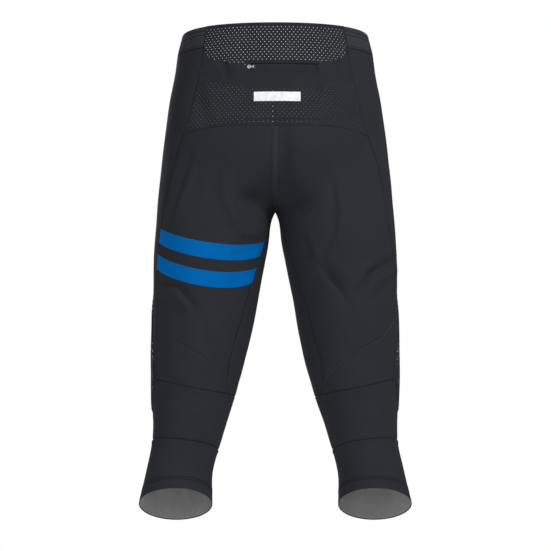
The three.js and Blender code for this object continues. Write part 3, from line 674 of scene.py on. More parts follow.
def buildPerforationTree(tree):
    given = addNode(tree, "NodeGroupInput")
    flag = addNode(tree, "GeometryNodeInputNamedAttribute", {"Name": "holed"}, data_type="BOOLEAN")
    split = addNode(tree, "GeometryNodeSeparateGeometry", {
        "Geometry": given.outputs["Geometry"], "Selection": flag.outputs["Attribute"]}, domain="POINT")
    laid = []
    for part, cell in (("Selection", "Holed Cell"), ("Inverted", "Plain Cell")):
        shape = addNode(tree, "GeometryNodeObjectInfo", {"Object": given.outputs[cell]})
        placed = addNode(tree, "GeometryNodeInstanceOnPoints", {
            "Points": split.outputs[part], "Instance": shape.outputs["Geometry"],
            "Scale": given.outputs["Cell Size"]})
        laid.append(placed)
    together = addNode(tree, "GeometryNodeJoinGeometry")
    for placed in laid:
        tree.links.new(placed.outputs[0], together.inputs[0])
    real = addNode(tree, "GeometryNodeRealizeInstances", {"Geometry": together.outputs[0]})
    welded = addNode(tree, "GeometryNodeMergeByDistance", {
        "Geometry": real.outputs[0], "Distance": given.outputs["Weld Distance"]})
    painted = addNode(tree, "GeometryNodeSetMaterial", {
        "Geometry": welded.outputs[0], "Material": given.outputs["Material"]})
    addNode(tree, "NodeGroupOutput", {"Geometry": painted.outputs[0]})


buildPerforationTree(perforationTree)


def arcTable(side, reference, towards, drops, count=160):
    # length round the garment from the reference line, for each drop
    arounds = np.linspace(reference, towards, count)
    grid = surfacePoint(side, arounds[None, :], drops[:, None])
    return arounds, lengthsAlong(grid, 1)


def aroundAtArc(table, drops, arounds, arc, drop):
    place = np.clip(np.interp(drop, drops, np.arange(len(drops))), 0, len(drops) - 1.001)
    low = place.astype(int)
    share = place - low
    found = np.empty(len(arc))
    for i in range(len(arc)):
        lengths = table[low[i]] * (1 - share[i]) + table[low[i] + 1] * share[i]
        found[i] = np.interp(arc[i], lengths, arounds)
    return found


def perforatedSheet(name, columnLines, rowLines, halfWidth, limits, window, placeAt, outerAt, material, values,
                    thickness):
    # columnLines and rowLines are the cell borders, halfWidth(drop) and limits(across) the outline
    columns, rows = len(columnLines) - 1, len(rowLines) - 1
    cells, flags = [], []
    for j in range(rows):
        for i in range(columns):
            xs, ds = columnLines[i:i + 2], rowLines[j:j + 2]
            corners = [(x, d) for x in xs for d in ds]
            reach = np.array([halfWidth(d) for d in ds])
            inside = [abs(x) < halfWidth(d) and limits(x)[0] < d < limits(x)[1] for x, d in corners]
            if not any(inside):
                continue
            middle = (sum(xs) / 2, sum(ds) / 2)
            if window and window[0] < middle[0] < window[1] and window[2] < middle[1] < window[3]:
                continue
            clear = max(abs(x) for x in xs) + values["margin"] < reach.min() and all(
                limits(x)[0] + values["margin"] < d < limits(x)[1] - values["margin"] for x, d in corners)
            if window:
                gap = max(window[0] - xs[1], xs[0] - window[1], window[2] - ds[1], ds[0] - window[3])
                clear = clear and gap > values["margin"] * 0.5
            cells.append((i, j, 0.0))
            flags.append(bool(clear and (values["everyCell"] or (i + j) % 2 == 0)))
    carrier = bpy.data.objects.new("cells", bpy.data.meshes.new("cells"))
    carrier.data.from_pydata(cells, [], [])
    carrier.data.attributes.new("holed", "BOOLEAN", "POINT").data.foreach_set("value", flags)
    bpy.context.collection.objects.link(carrier)
    holed = cellMesh("holedCell", values["hole"] / values["wide"], values["hole"] / values["tall"])
    plain = cellMesh("plainCell", 0, 0)
    mesh = applyTree(carrier, perforationTree, {
        perforationInputs["cell"]: 1.0, perforationInputs["weld"]: 0.01,
        perforationInputs["holed"]: holed, perforationInputs["plain"]: plain,
        perforationInputs["material"]: material})
    lattice = np.array([v.co for v in mesh.vertices])
    faces = [tuple(face.vertices) for face in mesh.polygons]
    for thing in (carrier, holed, plain):
        bpy.data.objects.remove(thing)
    across = np.interp(lattice[:, 0] + 0.5, np.arange(columns + 1), columnLines)
    drop = np.interp(lattice[:, 1] + 0.5, np.arange(rows + 1), rowLines)
    bottom = np.array([limits(x) for x in across])
    drop = np.clip(drop, bottom[:, 0], bottom[:, 1])
    reach = np.array([halfWidth(d) for d in drop])
    across = np.clip(across, -reach, reach)
    side, around = placeAt(across, drop)
    flatMap = np.stack([across, -drop], -1)
    return clothPlaces(name, (side, around, drop), faces, outerAt(side, around, drop, across), thickness,
                       [material], flatMap)


yoke = {"windowFrom": -66, "windowTo": 39, "windowTop": 65, "windowBottom": 77, "firstRow": 1.2,
        "edgeDip": 0.7}
yokeDrops = np.linspace(0, 180, 46)
yokeArounds, yokeArcs = arcTable(1, 1, 0.3, yokeDrops)
yokeSpread = outerSide(yokeDrops) / outerSide(yoke["windowTop"] + 6)  # the holes spread as the cloth widens
yokeArcs = yokeArcs / yokeSpread[:, None]
yokeEdges = np.array([np.interp(-backSideSeam(d), -yokeArounds, arcs) for d, arcs in zip(yokeDrops, yokeArcs)])


def yokePlace(across, drop):
    around = aroundAtArc(yokeArcs, yokeDrops, yokeArounds, np.abs(across), drop)
    return np.where(across < 0, -1.0, 1.0), around


def yokeHalfWidth(drop):
    return float(np.interp(drop, yokeDrops, yokeEdges))


def yokeLimits(across):
    share = abs(across) / yokeHalfWidth(170) * (1 - backSideSeam(170))
    return yoke["firstRow"], float(yokeBottomDrop(share))


def yokeOuter(side, around, drop, across):
    toEdge = np.minimum(np.array([yokeHalfWidth(d) for d in drop]) - np.abs(across),
                        np.array([yokeLimits(x)[1] for x in across]) - drop)
    near = np.clip(1 - toEdge / 4, 0, 1) ** 2
    return relief(side, around, drop) - yoke["edgeDip"] * near


wide, tall = perforation["wide"], perforation["tall"]
columnLines = [yoke["windowTo"] + wide * i for i in range(-64, 60)]
columnLines = [x for x in columnLines if abs(x) < yokeEdges.max() + 2 * wide]
rowLines = [
    *np.linspace(yoke["firstRow"], yoke["windowTop"], 17),
    *np.linspace(yoke["windowTop"], yoke["windowBottom"], 4)[1:],
    *[yoke["windowBottom"] + tall * (i + 1) for i in range(25)]]
backYoke = perforatedSheet(
    "back_yoke", columnLines, rowLines, yokeHalfWidth, yokeLimits,
    (yoke["windowFrom"], yoke["windowTo"], yoke["windowTop"], yoke["windowBottom"]), yokePlace, yokeOuter,
    cloths["perforatedKnit"], perforation, 0.6)
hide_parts("back_yoke")

facing = {"outer": -0.72, "drop": 40, "hole": 2.1}
facingRows = rowLines[:9]  # its holes meet those of the outer layer
backFacing = perforatedSheet(
    "back_waist_facing", columnLines, facingRows, yokeHalfWidth,
    lambda across: (yoke["firstRow"], facing["drop"]), None, yokePlace,
    lambda side, around, drop, across: relief(side, around, drop) + facing["outer"],
    cloths["perforatedKnit"], {**perforation, "hole": facing["hole"]}, 0.4)
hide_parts("back_waist_facing")
for piece, length in ((backYoke, 174), (backFacing, 34)):
    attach(piece, "garment")

insertPlan = {"bulge": 2.4, "edgeDip": 0.7, "hole": 2.25, "thickness": 0.25, "cutHeight": 205,
              "solidShare": 0.9}
insertDrops = np.linspace(396, 610, 50)
for side, suffix in ((1, "left"), (-1, "right")):
    backArounds, backArcs = arcTable(side, 0, 0.3, insertDrops, 60)
    frontArounds, frontArcs = arcTable(side, 0, -0.3, insertDrops, 60)

    def insertPlace(across, drop, side=side):
        back = aroundAtArc(backArcs, insertDrops, backArounds, np.abs(across), drop)
        front = aroundAtArc(frontArcs, insertDrops, frontArounds, np.abs(across), drop)
        return np.full(len(drop), float(side)), np.where(across > 0, back, front)

    def insertHalfWidth(drop):
        top, corner, tip = garment["insertTop"], garment["insertCorner"], garment["insertTip"]
        seam = backSideSeam(min(drop, corner))
        share = (drop - top) / (corner - top) if drop < corner else (tip - drop) / (tip - corner)
        arc = np.interp(seam * max(share, 0), backArounds,
                        backArcs[int(np.argmin(np.abs(insertDrops - drop)))])
        return float(arc) + 0.02

    def insertOuter(sides, around, drop, across):
        toEdge = np.array([insertHalfWidth(d) for d in drop]) - np.abs(across)
        return (relief(sides, around, drop) + insertPlan["bulge"] * smooth(0, 9, toEdge)
                - insertPlan["edgeDip"] * np.clip(1 - toEdge / 3, 0, 1) ** 2)

    lines = [wide * (i - 15.5) for i in range(32)]
    rows = [garment["insertTop"] + tall * i for i in range(52)]
    insert = perforatedSheet(
        f"side_mesh_{suffix}", lines, rows, insertHalfWidth, lambda across: (400.5, 604.5), None,
        insertPlace, insertOuter, cloths["perforatedKnit"], {**perforation, "hole": insertPlan["hole"]},
        insertPlan["thickness"])
    halfWide, cutHeight = insertHalfWidth(garment["insertCorner"]), insertPlan["cutHeight"]
    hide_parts(f"side_mesh_{suffix}")
    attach(insert, "garment")
print("perforated cloth made")

# Pocket bag: two net sheets behind the yoke
# solidShare was fitted to the sheet's measured area, walls of the holes included; the face alone is about 0.44
net = {**perforation, "hole": 3.3, "margin": 0.3, "everyCell": True, "solidShare": 0.62,
       "centre": -13.5, "halfWidth": 62, "bottom": 158, "frontTop": 86.2, "backTop": 58}


def backSheetOuter(side, around, drop, across):
    return mix(-7.0, -2.5, smooth(84, 120, drop)) + relief(side, around, drop)


for name, top, outerAt in (
        ("pocket_bag_front", net["frontTop"],
         lambda side, around, drop, across: relief(side, around, drop) - 1.4),
        ("pocket_bag_back", net["backTop"], backSheetOuter)):
    lines = [x for x in columnLines if abs(x - net["centre"]) <= net["halfWidth"]]
    rows = [top, *[d for d in rowLines if top + 1 < d < net["bottom"] - 1], net["bottom"]]
    bag = perforatedSheet(
        name, lines, rows, lambda drop: 2 * net["halfWidth"],
        lambda across, top=top: (top - 0.1, net["bottom"] + 0.1), None, yokePlace, outerAt,
        cloths["pocketNet"], net, 0.4)
    across, tall = lines[-1] - lines[0], net["bottom"] - top
    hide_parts(name)
    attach(bag, "garment")
print("pocket made")


# Waistband: one strip folded over the top, with the elastic inside
bandPlan = {"step": 0.9, "insideStep": 3, "reach": 1.5, "girth": 690, "cutHeight": 70, "elasticHeight": 26,
            "backFold": (260, 10, 8)}   # backFold: length, declared width and real width


def foldedStrip(name, across, side, around, outsideDrop, insideDrop, radius, lift, thickness, material):
    turns = np.linspace(0, math.pi, 9)
    outsideSteps = max(3, int((outsideDrop - radius) / bandPlan["step"]))
    insideSteps = max(3, int((insideDrop - radius) / bandPlan["insideStep"]))
    outerPath = [(d, 0.0) for d in np.linspace(outsideDrop, radius, outsideSteps)]
    outerPath += [(radius - radius * math.sin(t), -radius + radius * math.cos(t)) for t in turns[1:-1]]
    outerPath += [(d, -2 * radius) for d in np.linspace(radius, insideDrop, insideSteps)]
    inner = radius - thickness
    innerPath = []
    for d, offset in outerPath:
        if d >= radius:
            innerPath.append((d, offset - thickness if offset > -radius else offset + thickness))
        else:
            scale = inner / radius
            innerPath.append((radius + (d - radius) * scale, -radius + (offset + radius) * scale))
    grids = []
    for path in (outerPath, innerPath):
        rows = []
        for d, offset in path:
            drop = np.full_like(around, d)
            height = offset + relief(side, around, drop) + lift
            rows.append(surfacePoint(side, around, drop)
                        + surfaceNormal(side, around, drop) * height[..., None])
        grids.append(np.array(rows))
    outer, under = (grid.reshape(-1, 3) for grid in grids)
    faces = gridFaces(len(outerPath), len(around))
    a, b, c = (outer[i] for i in faces[0][:3])
    facingOut = surfaceNormal(side, around, np.full_like(around, 20.0))[0]
    if float(np.dot(np.cross(b - a, c - a), facingOut)) < 0:
        faces = [tuple(reversed(face)) for face in faces]
    points, allFaces = closedSheet(outer, under, faces)
    down = np.repeat(np.arange(len(outerPath)) * bandPlan["step"], len(around))
    flatMap = np.stack([np.tile(across, len(outerPath)), down], -1)
    piece = newPiece(name, points, allFaces, [material], None, np.concatenate([flatMap, flatMap]))
    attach(piece, "garment")
    return piece


bandAcross = np.linspace(-1, 1, 361) * bandPlan["reach"]
bandSide = np.where(bandAcross < 0, -1.0, 1.0)
bandAround = np.abs(bandAcross) - 1
# the waistband wears the knit painted lighter, painted light on its bulge
band = foldedStrip("waistband", bandAcross * garment["halfGirth"], bandSide, bandAround, 33.8, 33.6, 1.8, 0.0,
                   0.7, cloths["bandKnitPaintedLight"])
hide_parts("waistband", "waistband_facing")

topAcross = np.linspace(-1, 1, 181) * 0.5
topFold = foldedStrip("back_waist_fold", topAcross * garment["halfGirth"], np.where(topAcross < 0, -1.0, 1.0),
                      1 - np.abs(topAcross), 3.4, 3.4, 0.95, 0.28, 0.4, cloths["perforatedKnit"])

elasticColumns = np.linspace(-1, 1, 241) * bandPlan["reach"]
elasticDrop, elasticAcross = np.meshgrid(np.linspace(4.5, 29.5, 14), elasticColumns, indexing="ij")
elasticSide, elasticAround = np.where(elasticAcross < 0, -1.0, 1.0), np.abs(elasticAcross) - 1
elasticWave = relief(elasticSide, elasticAround, elasticDrop)
elasticPiece = clothPlaces(
    "waist_elastic", (elasticSide.ravel(), elasticAround.ravel(), elasticDrop.ravel()),
    gridFaces(*elasticDrop.shape), (elasticWave * 0.9 - 1.25).ravel(), 0.9, [cloths["wovenElastic"]],
    np.stack([elasticAcross.ravel() * garment["halfGirth"], -elasticDrop.ravel()], -1))
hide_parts("waist_elastic")
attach(elasticPiece, "garment")
print("waist made")


# Flat strips that lie on the cloth: films and tapes
def laidStrip(name, locate, columns, rows, height, thickness, materialList, node, edge=0.0):
    p, q = np.meshgrid(np.linspace(0, 1, columns), np.linspace(0, 1, rows))
    side, around, drop = locate(p, q)
    base = surfacePoint(side, around, drop)
    across, down = lengthsAlong(base, 1), lengthsAlong(base, 0)
    toEdge = np.minimum.reduce([across, across[:, -1:] - across, down, down[-1:] - down])
    outer = relief(side, around, drop) + height - edge * np.clip(1 - toEdge / 1.2, 0, 1) ** 2
    piece = clothPlaces(name, (side.ravel(), around.ravel(), drop.ravel()), gridFaces(*p.shape),
                        outer.ravel(), thickness, materialList, np.stack([across, -down], -1).reshape(-1, 2))
    if node:
        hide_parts(node)
    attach(piece, "garment")


stripes = {"lowPoints": {"stripe_upper": 347, "stripe_lower": 389}, "width": 23.7, "curve": 121,
           "centre": 0.675, "endInset": 0.004, "height": 0.42, "film": 0.35}


def stripePlace(lowPoint):
    def place(p, q):
        p = mix(stripes["endInset"], 1 - stripes["endInset"], p)
        drop = np.full_like(p, float(lowPoint))
        around = p
        for _ in range(4):
            around = mix(backSideSeam(drop), 1, p)
            drop = lowPoint - stripes["curve"] * (around - stripes["centre"]) ** 2 + q * stripes["width"]
        return np.ones_like(p), around, drop
    return place


for name, lowPoint in stripes["lowPoints"].items():
    laidStrip(name, stripePlace(lowPoint), 96, 16, stripes["height"], stripes["film"], [blueFilm],
              name, 0.25)

reflector = {"drop": 119.5, "height": 15, "width": 72, "centre": -3}


def reflectorPlace(p, q):
    drop = reflector["drop"] + reflector["height"] * (q - 0.5)
    across = (reflector["centre"] + reflector["width"] * (0.5 - p)) / np.interp(drop, yokeDrops, yokeSpread)
    side, around = yokePlace(across.ravel(), drop.ravel())
    return side.reshape(p.shape), around.reshape(p.shape), drop


laidStrip("reflective_strip", reflectorPlace, 49, 12, 0.3, 0.25, [beadFilm],
          "reflective_strip", 0.15)


frontSeam = {"bottom": 205, "tapeHalfWidth": 4, "pipingAt": 3.5, "pipingWidth": 3.2}


def frontTapePlace(p, q):
    return frontStrip((2 * p - 1) * frontSeam["tapeHalfWidth"], q)


def frontPipingPlace(p, q):
    return frontStrip(frontSeam["pipingAt"] + (p - 0.5) * frontSeam["pipingWidth"], q)


def frontStrip(across, q):
    drop = mix(garment["bandHeight"] + 1, frontSeam["bottom"], q)
    around = across / outerSide(drop) * 2 / math.pi
    return np.where(around < 0, -1.0, 1.0), np.abs(around) - 1, drop


seatCover = {"top": 167, "bottom": 281, "width": 9.2, "endWidth": 6}


def seatCoverPlace(p, q):
    drop = mix(seatCover["top"], seatCover["bottom"], np.sin(q * math.pi / 2))
    across = (0.5 - p) * mix(seatCover["width"], seatCover["endWidth"], q**2)
    reach = np.linspace(1, 0.8, 81)
    arcs = lengthsAlong(surfacePoint(1, reach[None, :], drop[:, :1]), 1)
    around = np.array([np.interp(np.abs(row), arc, reach) for row, arc in zip(across, arcs)])
    return np.where(across < 0, -1.0, 1.0), around, drop


# the seat seam cover wears the knit painted lighter, painted light along the strip
laidStrip("seat_seam_cover", seatCoverPlace, 11, 70, 1.1, 0.6, [cloths["seatKnitPaintedLight"]], None,
          0.3)
laidStrip("front_seam_tape", frontTapePlace, 9, 80, -2.6, 0.3, [cloths["wovenElastic"]],
          "front_seam_tape")
laidStrip("front_seam_piping", frontPipingPlace, 5, 80, -2.95, 0.5, [cloths["satinSeamTape"]],
          None)
print("films and tapes made")


# Seam allowances inside, one narrow strip behind each seam
def seamLine(side, around, drop):
    return np.full_like(drop, float(side)), around, drop


def legSeams(side):
    t = np.linspace(0, 1, 150)
    down = mix(34.0, 545.0, t)
    cornerDrop = garment["insertCorner"]
    corner = backSideSeam(cornerDrop)
    edge = mix(corner, 1, t)
    ring = mix(-1.0, 1.0, np.linspace(0, 1, 220))
    upperInsert = mix(-1.0, 1.0, t)
    insertDrop = mix(garment["insertTop"], cornerDrop, np.abs(upperInsert))
    lowerDrop = mix(garment["insertTip"], cornerDrop, np.abs(upperInsert))
    yokeEnd = 1 - backSideSeam(garment["yokeEndDrop"])
    crotchToCuff = mix(garment["crotchDrop"] + 2, float(cuffSeamDrop(1.0)), t)
    return {
        "backSide": seamLine(side, backSideSeam(down), down),
        "frontSide": seamLine(side, frontSideSeam(down), down),
        "knee": seamLine(side, mix(backSideSeam(kneeSeamDrop(t)), 1, t), kneeSeamDrop(t)),
        "insertTop": seamLine(side, backSideSeam(insertDrop) * upperInsert, insertDrop),
        "insertLow": seamLine(side, corner * upperInsert, lowerDrop),
        "cuffBack": seamLine(side, edge, cuffSeamDrop(edge)),
        "cuffFront": seamLine(side, -edge, cuffSeamDrop(-edge)),
        "midCalf": seamLine(side, ring, midCalfDrop(ring)),
        "yokeLow": seamLine(side, 1 - t * yokeEnd, yokeBottomDrop(t * yokeEnd)),
        "inseam": seamLine(side, np.full_like(t, garment["inseamAround"]), crotchToCuff),
        "calfInseam": seamLine(side, np.full_like(t, garment["inseamAround"]), mix(570.0, 738.0, t)),
    }


def centreSeams():
    t = np.sin(np.linspace(0, math.pi / 2, 150))
    back, front = mix(166.0, 283.0, t), mix(34.0, 283.0, t)
    return {"centreBack": seamLine(1, np.ones_like(t), back),
            "centreFront": seamLine(1, -np.ones_like(t), front)}


def linePoints(line, height):
    side, around, drop = line
    point = surfacePoint(side, around, drop)
    normal = surfaceNormal(side, around, drop)
    return point + normal * (relief(side, around, drop) + height)[:, None], normal


allowance = {"width": 6.5, "height": -2.0, "thickness": 0.5, "yokeShift": 3.4}


def allowanceStrip(name, lines):
    points, faces, flatMap = [], [], []
    for line in lines:
        centre, normal = linePoints(line, allowance["height"])
        tangent = np.gradient(centre, axis=0)
        across = np.cross(tangent, normal)
        across /= np.maximum(np.linalg.norm(across, axis=1, keepdims=True), 1e-9)
        length = lengthsAlong(centre, 0)
        start, count = sum(len(p) for p in points), len(centre)
        ring = []
        for offset, lift in ((-0.5, -0.3), (-0.25, 0.0), (0.25, 0.0), (0.5, -0.3)):
            ring.append(centre + across * offset * allowance["width"] + normal * lift)
        for offset, lift in ((0.5, -0.3), (0.25, 0.0), (-0.25, 0.0), (-0.5, -0.3)):
            ring.append(centre + across * offset * allowance["width"]
                        + normal * (lift - allowance["thickness"]))
        points.append(np.concatenate(ring))
        flatMap.append(np.concatenate([np.stack([length, np.full(count, k * 1.6)], -1) for k in range(8)]))
        for k in range(8):
            a, b = start + k * count, start + ((k + 1) % 8) * count
            faces += [(a + i, a + i + 1, b + i + 1, b + i) for i in range(count - 1)]
        faces.append(tuple(start + k * count for k in range(8)))
        faces.append(tuple(start + k * count + count - 1 for k in reversed(range(8))))
    piece = newPiece(name, np.concatenate(points), faces, [cloths["polyesterKnit"]], None,
                     np.concatenate(flatMap))
    fixNormals(piece)
    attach(piece, "garment")


def fixNormals(piece):
    shape = bmesh.new()
    shape.from_mesh(piece.data)
    bmesh.ops.recalc_face_normals(shape, faces=shape.faces)
    shape.to_mesh(piece.data)
    shape.free()


seams = {"left": legSeams(1), "right": legSeams(-1), "centre": centreSeams()}
for name, lines in seams.items():
    allowances = dict(lines)
    if "yokeLow" in allowances:
        side, around, drop = allowances["yokeLow"]
        allowances["yokeLow"] = (side, around, drop + allowance["yokeShift"])
    allowanceStrip(f"seam_allowance_{name}", allowances.values())
print("seam allowances made")


# Stitches
stitchTree, stitchInputs = startTree("stitchRow", {
    "spacing": ("Spacing", "Float"), "size": ("Stitch Size", "Vector"), "turn": ("Turn", "Float"),
    "material": ("Thread", "Material")})


def buildStitchTree(tree):
    given = addNode(tree, "NodeGroupInput")
    path = addNode(tree, "GeometryNodeMeshToCurve", {"Mesh": given.outputs["Geometry"]})
    even = addNode(tree, "GeometryNodeResampleCurve", {
        "Curve": path.outputs[0], "Length": given.outputs["Spacing"]}, mode="LENGTH")
    tangent = addNode(tree, "GeometryNodeInputTangent")
    outward = addNode(tree, "GeometryNodeInputNamedAttribute", {"Name": "outward"}, data_type="FLOAT_VECTOR")
    along = addNode(tree, "FunctionNodeAlignRotationToVector", {"Vector": tangent.outputs[0]}, axis="X")
    upright = addNode(tree, "FunctionNodeAlignRotationToVector", {
        "Rotation": along.outputs[0], "Vector": outward.outputs["Attribute"]}, axis="Z", pivot_axis="X")
    turn = addNode(tree, "ShaderNodeCombineXYZ", {"Z": given.outputs["Turn"]})
    spin = addNode(tree, "FunctionNodeEulerToRotation", {0: turn.outputs[0]})
    turned = addNode(tree, "FunctionNodeRotateRotation", {
        "Rotation": upright.outputs[0], "Rotate By": spin.outputs[0]}, rotation_space="LOCAL")
    stitch = addNode(tree, "GeometryNodeMeshUVSphere", {"Segments": 6, "Rings": 4, "Radius": 0.5})
    shift = addNode(tree, "GeometryNodeTransform", {
        "Geometry": stitch.outputs[0], "Rotation": (0.0, math.pi / 2, 0.0)})
    placed = addNode(tree, "GeometryNodeInstanceOnPoints", {
        "Points": even.outputs[0], "Instance": shift.outputs[0], "Rotation": turned.outputs[0],
        "Scale": given.outputs["Stitch Size"]})
    real = addNode(tree, "GeometryNodeRealizeInstances", {"Geometry": placed.outputs[0]})
    painted = addNode(tree, "GeometryNodeSetMaterial", {
        "Geometry": real.outputs[0], "Material": given.outputs["Thread"]})
    addNode(tree, "NodeGroupOutput", {"Geometry": painted.outputs[0]})


buildStitchTree(stitchTree)

stitchKinds = {
    # topstitch: stitches along the row; flat seam: threads that cross the seam
    "topstitch": {"spacing": 3.4, "size": (2.5, 0.55, 0.4), "turn": 0.0, "height": 0.12},
    "coverStitch": {"spacing": 2.6, "size": (2.1, 1.1, 0.5), "turn": 0.0, "height": 0.22},
    "waistStitch": {"spacing": 2.8, "size": (2.4, 1.2, 0.45), "turn": 0.0, "height": 0.1},
    "flatSeam": {"spacing": 1.5, "size": (2.4, 0.75, 0.4), "turn": math.pi / 2 - 0.35, "height": -0.85},
    "kneeSeam": {"spacing": 1.5, "size": (1.9, 0.6, 0.45), "turn": 0.25, "height": -0.35},
}


def stitches(name, lines, kind, thread):
    values = stitchKinds[kind]
    points, edges, outward = [], [], []
    for line in lines:
        place, normal = linePoints(line, values["height"])
        start = sum(len(p) for p in points)
        points.append(place)
        outward.append(normal)
        edges += [(start + i, start + i + 1) for i in range(len(place) - 1)]
    carrier = bpy.data.objects.new("rows", bpy.data.meshes.new("rows"))
    carrier.data.from_pydata((np.concatenate(points) * mm).tolist(), edges, [])
    attribute = carrier.data.attributes.new("outward", "FLOAT_VECTOR", "POINT")
    attribute.data.foreach_set("vector", np.concatenate(outward).astype(np.float32).ravel())
    bpy.context.collection.objects.link(carrier)
    mesh = applyTree(carrier, stitchTree, {
        stitchInputs["spacing"]: values["spacing"] * mm,
        stitchInputs["size"]: [v * mm for v in values["size"]],
        stitchInputs["turn"]: values["turn"], stitchInputs["material"]: thread})
    bpy.data.objects.remove(carrier)
    piece = bpy.data.objects.new(name, mesh)
    mesh.name = name
    mesh.shade_smooth()
    bpy.context.collection.objects.link(piece)
    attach(piece, "garment")


for name in ("left", "right"):
    knee = seams[name].pop("knee")
    stitches(f"knee_stitches_{name}", [knee], "kneeSeam", greyThread)
for name, lines in seams.items():
    stitches(f"seam_stitches_{name}", lines.values(), "flatSeam", darkThread)

frontSpan = np.linspace(-1.5, 1.5, 500)
waistLines = [(np.where(frontSpan < 0, -1.0, 1.0), np.abs(frontSpan) - 1, np.full_like(frontSpan, d))
              for d in folds["stitchRows"]]
stitches("waist_stitches", waistLines, "waistStitch", blackThread)

hem = {"rows": [18, 22.5]}
for side, suffix in ((1, "left"), (-1, "right")):
    ringAround = np.linspace(-1, 1, 300)
    lines = [(np.full_like(ringAround, float(side)), ringAround,
              np.full_like(ringAround, garment["hemDrop"] - up)) for up in hem["rows"]]
    stitches(f"hem_stitches_{suffix}", lines, "coverStitch", blackThread)
print("stitches made")

# Zip
zipPlan = {"drop": 71, "from": 39, "to": -66, "overlap": 6, "tapeOuter": -1.7, "tapeThickness": 0.8,
           "coilOuter": -2.8, "coilPitch": 1.25, "coilLoop": 1.0, "coilWire": 0.28, "coilApart": 1.45}
zipCentre = surfacePoint(1, 1.0, zipPlan["drop"])
zipUp = surfacePoint(1, 1.0, zipPlan["drop"] - 5) - surfacePoint(1, 1.0, zipPlan["drop"] + 5)
zipUp /= np.linalg.norm(zipUp)
zipOut = np.array([0, zipUp[2], -zipUp[1]])
endAround = 1 - 2 / math.pi * math.asin(-zipPlan["to"] / float(outerSide(zipPlan["drop"])))
endPoint = surfacePoint(1, endAround, zipPlan["drop"])
endSag = float(np.dot(zipCentre - endPoint, zipOut))
zipRadius = (endPoint[0] ** 2 + endSag**2) / (2 * endSag)
zipAxis = zipCentre - zipOut * zipRadius


def onZip(x, radial, height):
    # x along the arc, radial from the cloth's face, height along the axis
    angle = np.asarray(x, float) / zipRadius
    radius = zipRadius + radial
    return (zipAxis + np.sin(angle)[..., None] * radius[..., None] * np.array([1.0, 0, 0])
            + np.cos(angle)[..., None] * radius[..., None] * zipOut
            + np.asarray(height, float)[..., None] * zipUp)


# Lacquered zinc: the slider's plates are dyed to match the tape and only its bail is bare metal.
sliderPlan = {"restX": 34, "plateTop": 0.3 + 1.0 + 0.1}   # gap, plate and a hair over it
sliderAngle = sliderPlan["restX"] / zipRadius
sliderOut = Vector(np.sin(sliderAngle) * np.array([1.0, 0, 0]) + np.cos(sliderAngle) * zipOut)
plateRadius = zipRadius + zipPlan["tapeOuter"] + sliderPlan["plateTop"]
plateLevel = Vector(zipAxis * mm).dot(sliderOut) + plateRadius * mm
lacqueredZinc, lacquerTree = startMaterial("lacqueredZinc")
lacquerPlace = addNode(lacquerTree, "ShaderNodeTexCoord")
lacquerLevel = addNode(lacquerTree, "ShaderNodeVectorMath", {
    0: lacquerPlace.outputs["Object"], 1: sliderOut}, operation="DOT_PRODUCT")
bare = addNode(lacquerTree, "ShaderNodeMath", {0: lacquerLevel.outputs["Value"], 1: plateLevel},
               operation="GREATER_THAN")
lacquerGrain = addNode(lacquerTree, "ShaderNodeTexNoise", {
    "Vector": lacquerPlace.outputs["Object"], "Scale": 1 / (0.6 * mm), "Detail": 4.0})
lacquerRamp = addNode(lacquerTree, "ShaderNodeValToRGB", {"Fac": bare.outputs[0]})
for stop, (place, tone) in zip(lacquerRamp.color_ramp.elements, ((0.4, "#33383a"), (0.6, "#cfd2d6"))):
    stop.position, stop.color = place, colour(tone)
lacquerRough = addNode(lacquerTree, "ShaderNodeMapRange", {
    "Value": lacquerGrain.outputs["Fac"], "From Min": 0.3, "From Max": 0.7, "To Min": 0.35, "To Max": 0.5})
finishMaterial(lacquerTree, lacquerRamp.outputs[0], lacquerGrain.outputs["Fac"], 0.00001,
               lacquerRough.outputs[0])


def zipTape(name, up):
    tapeFrom, tapeTo = zipPlan["from"] + zipPlan["overlap"], zipPlan["to"] - zipPlan["overlap"]
    x = np.linspace(tapeFrom, tapeTo, 90)
    h = np.array([0.15, 0.7, 1.6, 3.2, 5.0, 7.0, 8.4, 9.2, 9.8])
    xx, hh = np.meshgrid(x, h)
    crown = 0.2 * np.exp(-((hh - 2.6) / 1.5) ** 2)
    top = onZip(xx, zipPlan["tapeOuter"] + crown, hh * up).reshape(-1, 3)
    under = onZip(xx, zipPlan["tapeOuter"] - zipPlan["tapeThickness"] + crown, hh * up).reshape(-1, 3)
    faces = turnedOut(top, gridFaces(*xx.shape), np.tile(zipOut, (xx.size, 1)))
    points, allFaces = closedSheet(top, under, faces)
    flatMap = np.stack([xx.ravel(), hh.ravel()], -1)
    piece = newPiece(name, points, allFaces, [cloths["wovenZipTape"]], None,
                     np.concatenate([flatMap, flatMap]))
    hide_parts(name)
    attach(piece, "garment")


zipTape("zip_tape_upper", 1)
zipTape("zip_tape_lower", -1)

coilTree, coilInputs = startTree("zipCoil", {
    "pitch": ("Pitch", "Float"), "radius": ("Loop Radius", "Float"), "wire": ("Wire Radius", "Float"),
    "stretch": ("Stretch", "Vector"), "material": ("Nylon", "Material")})


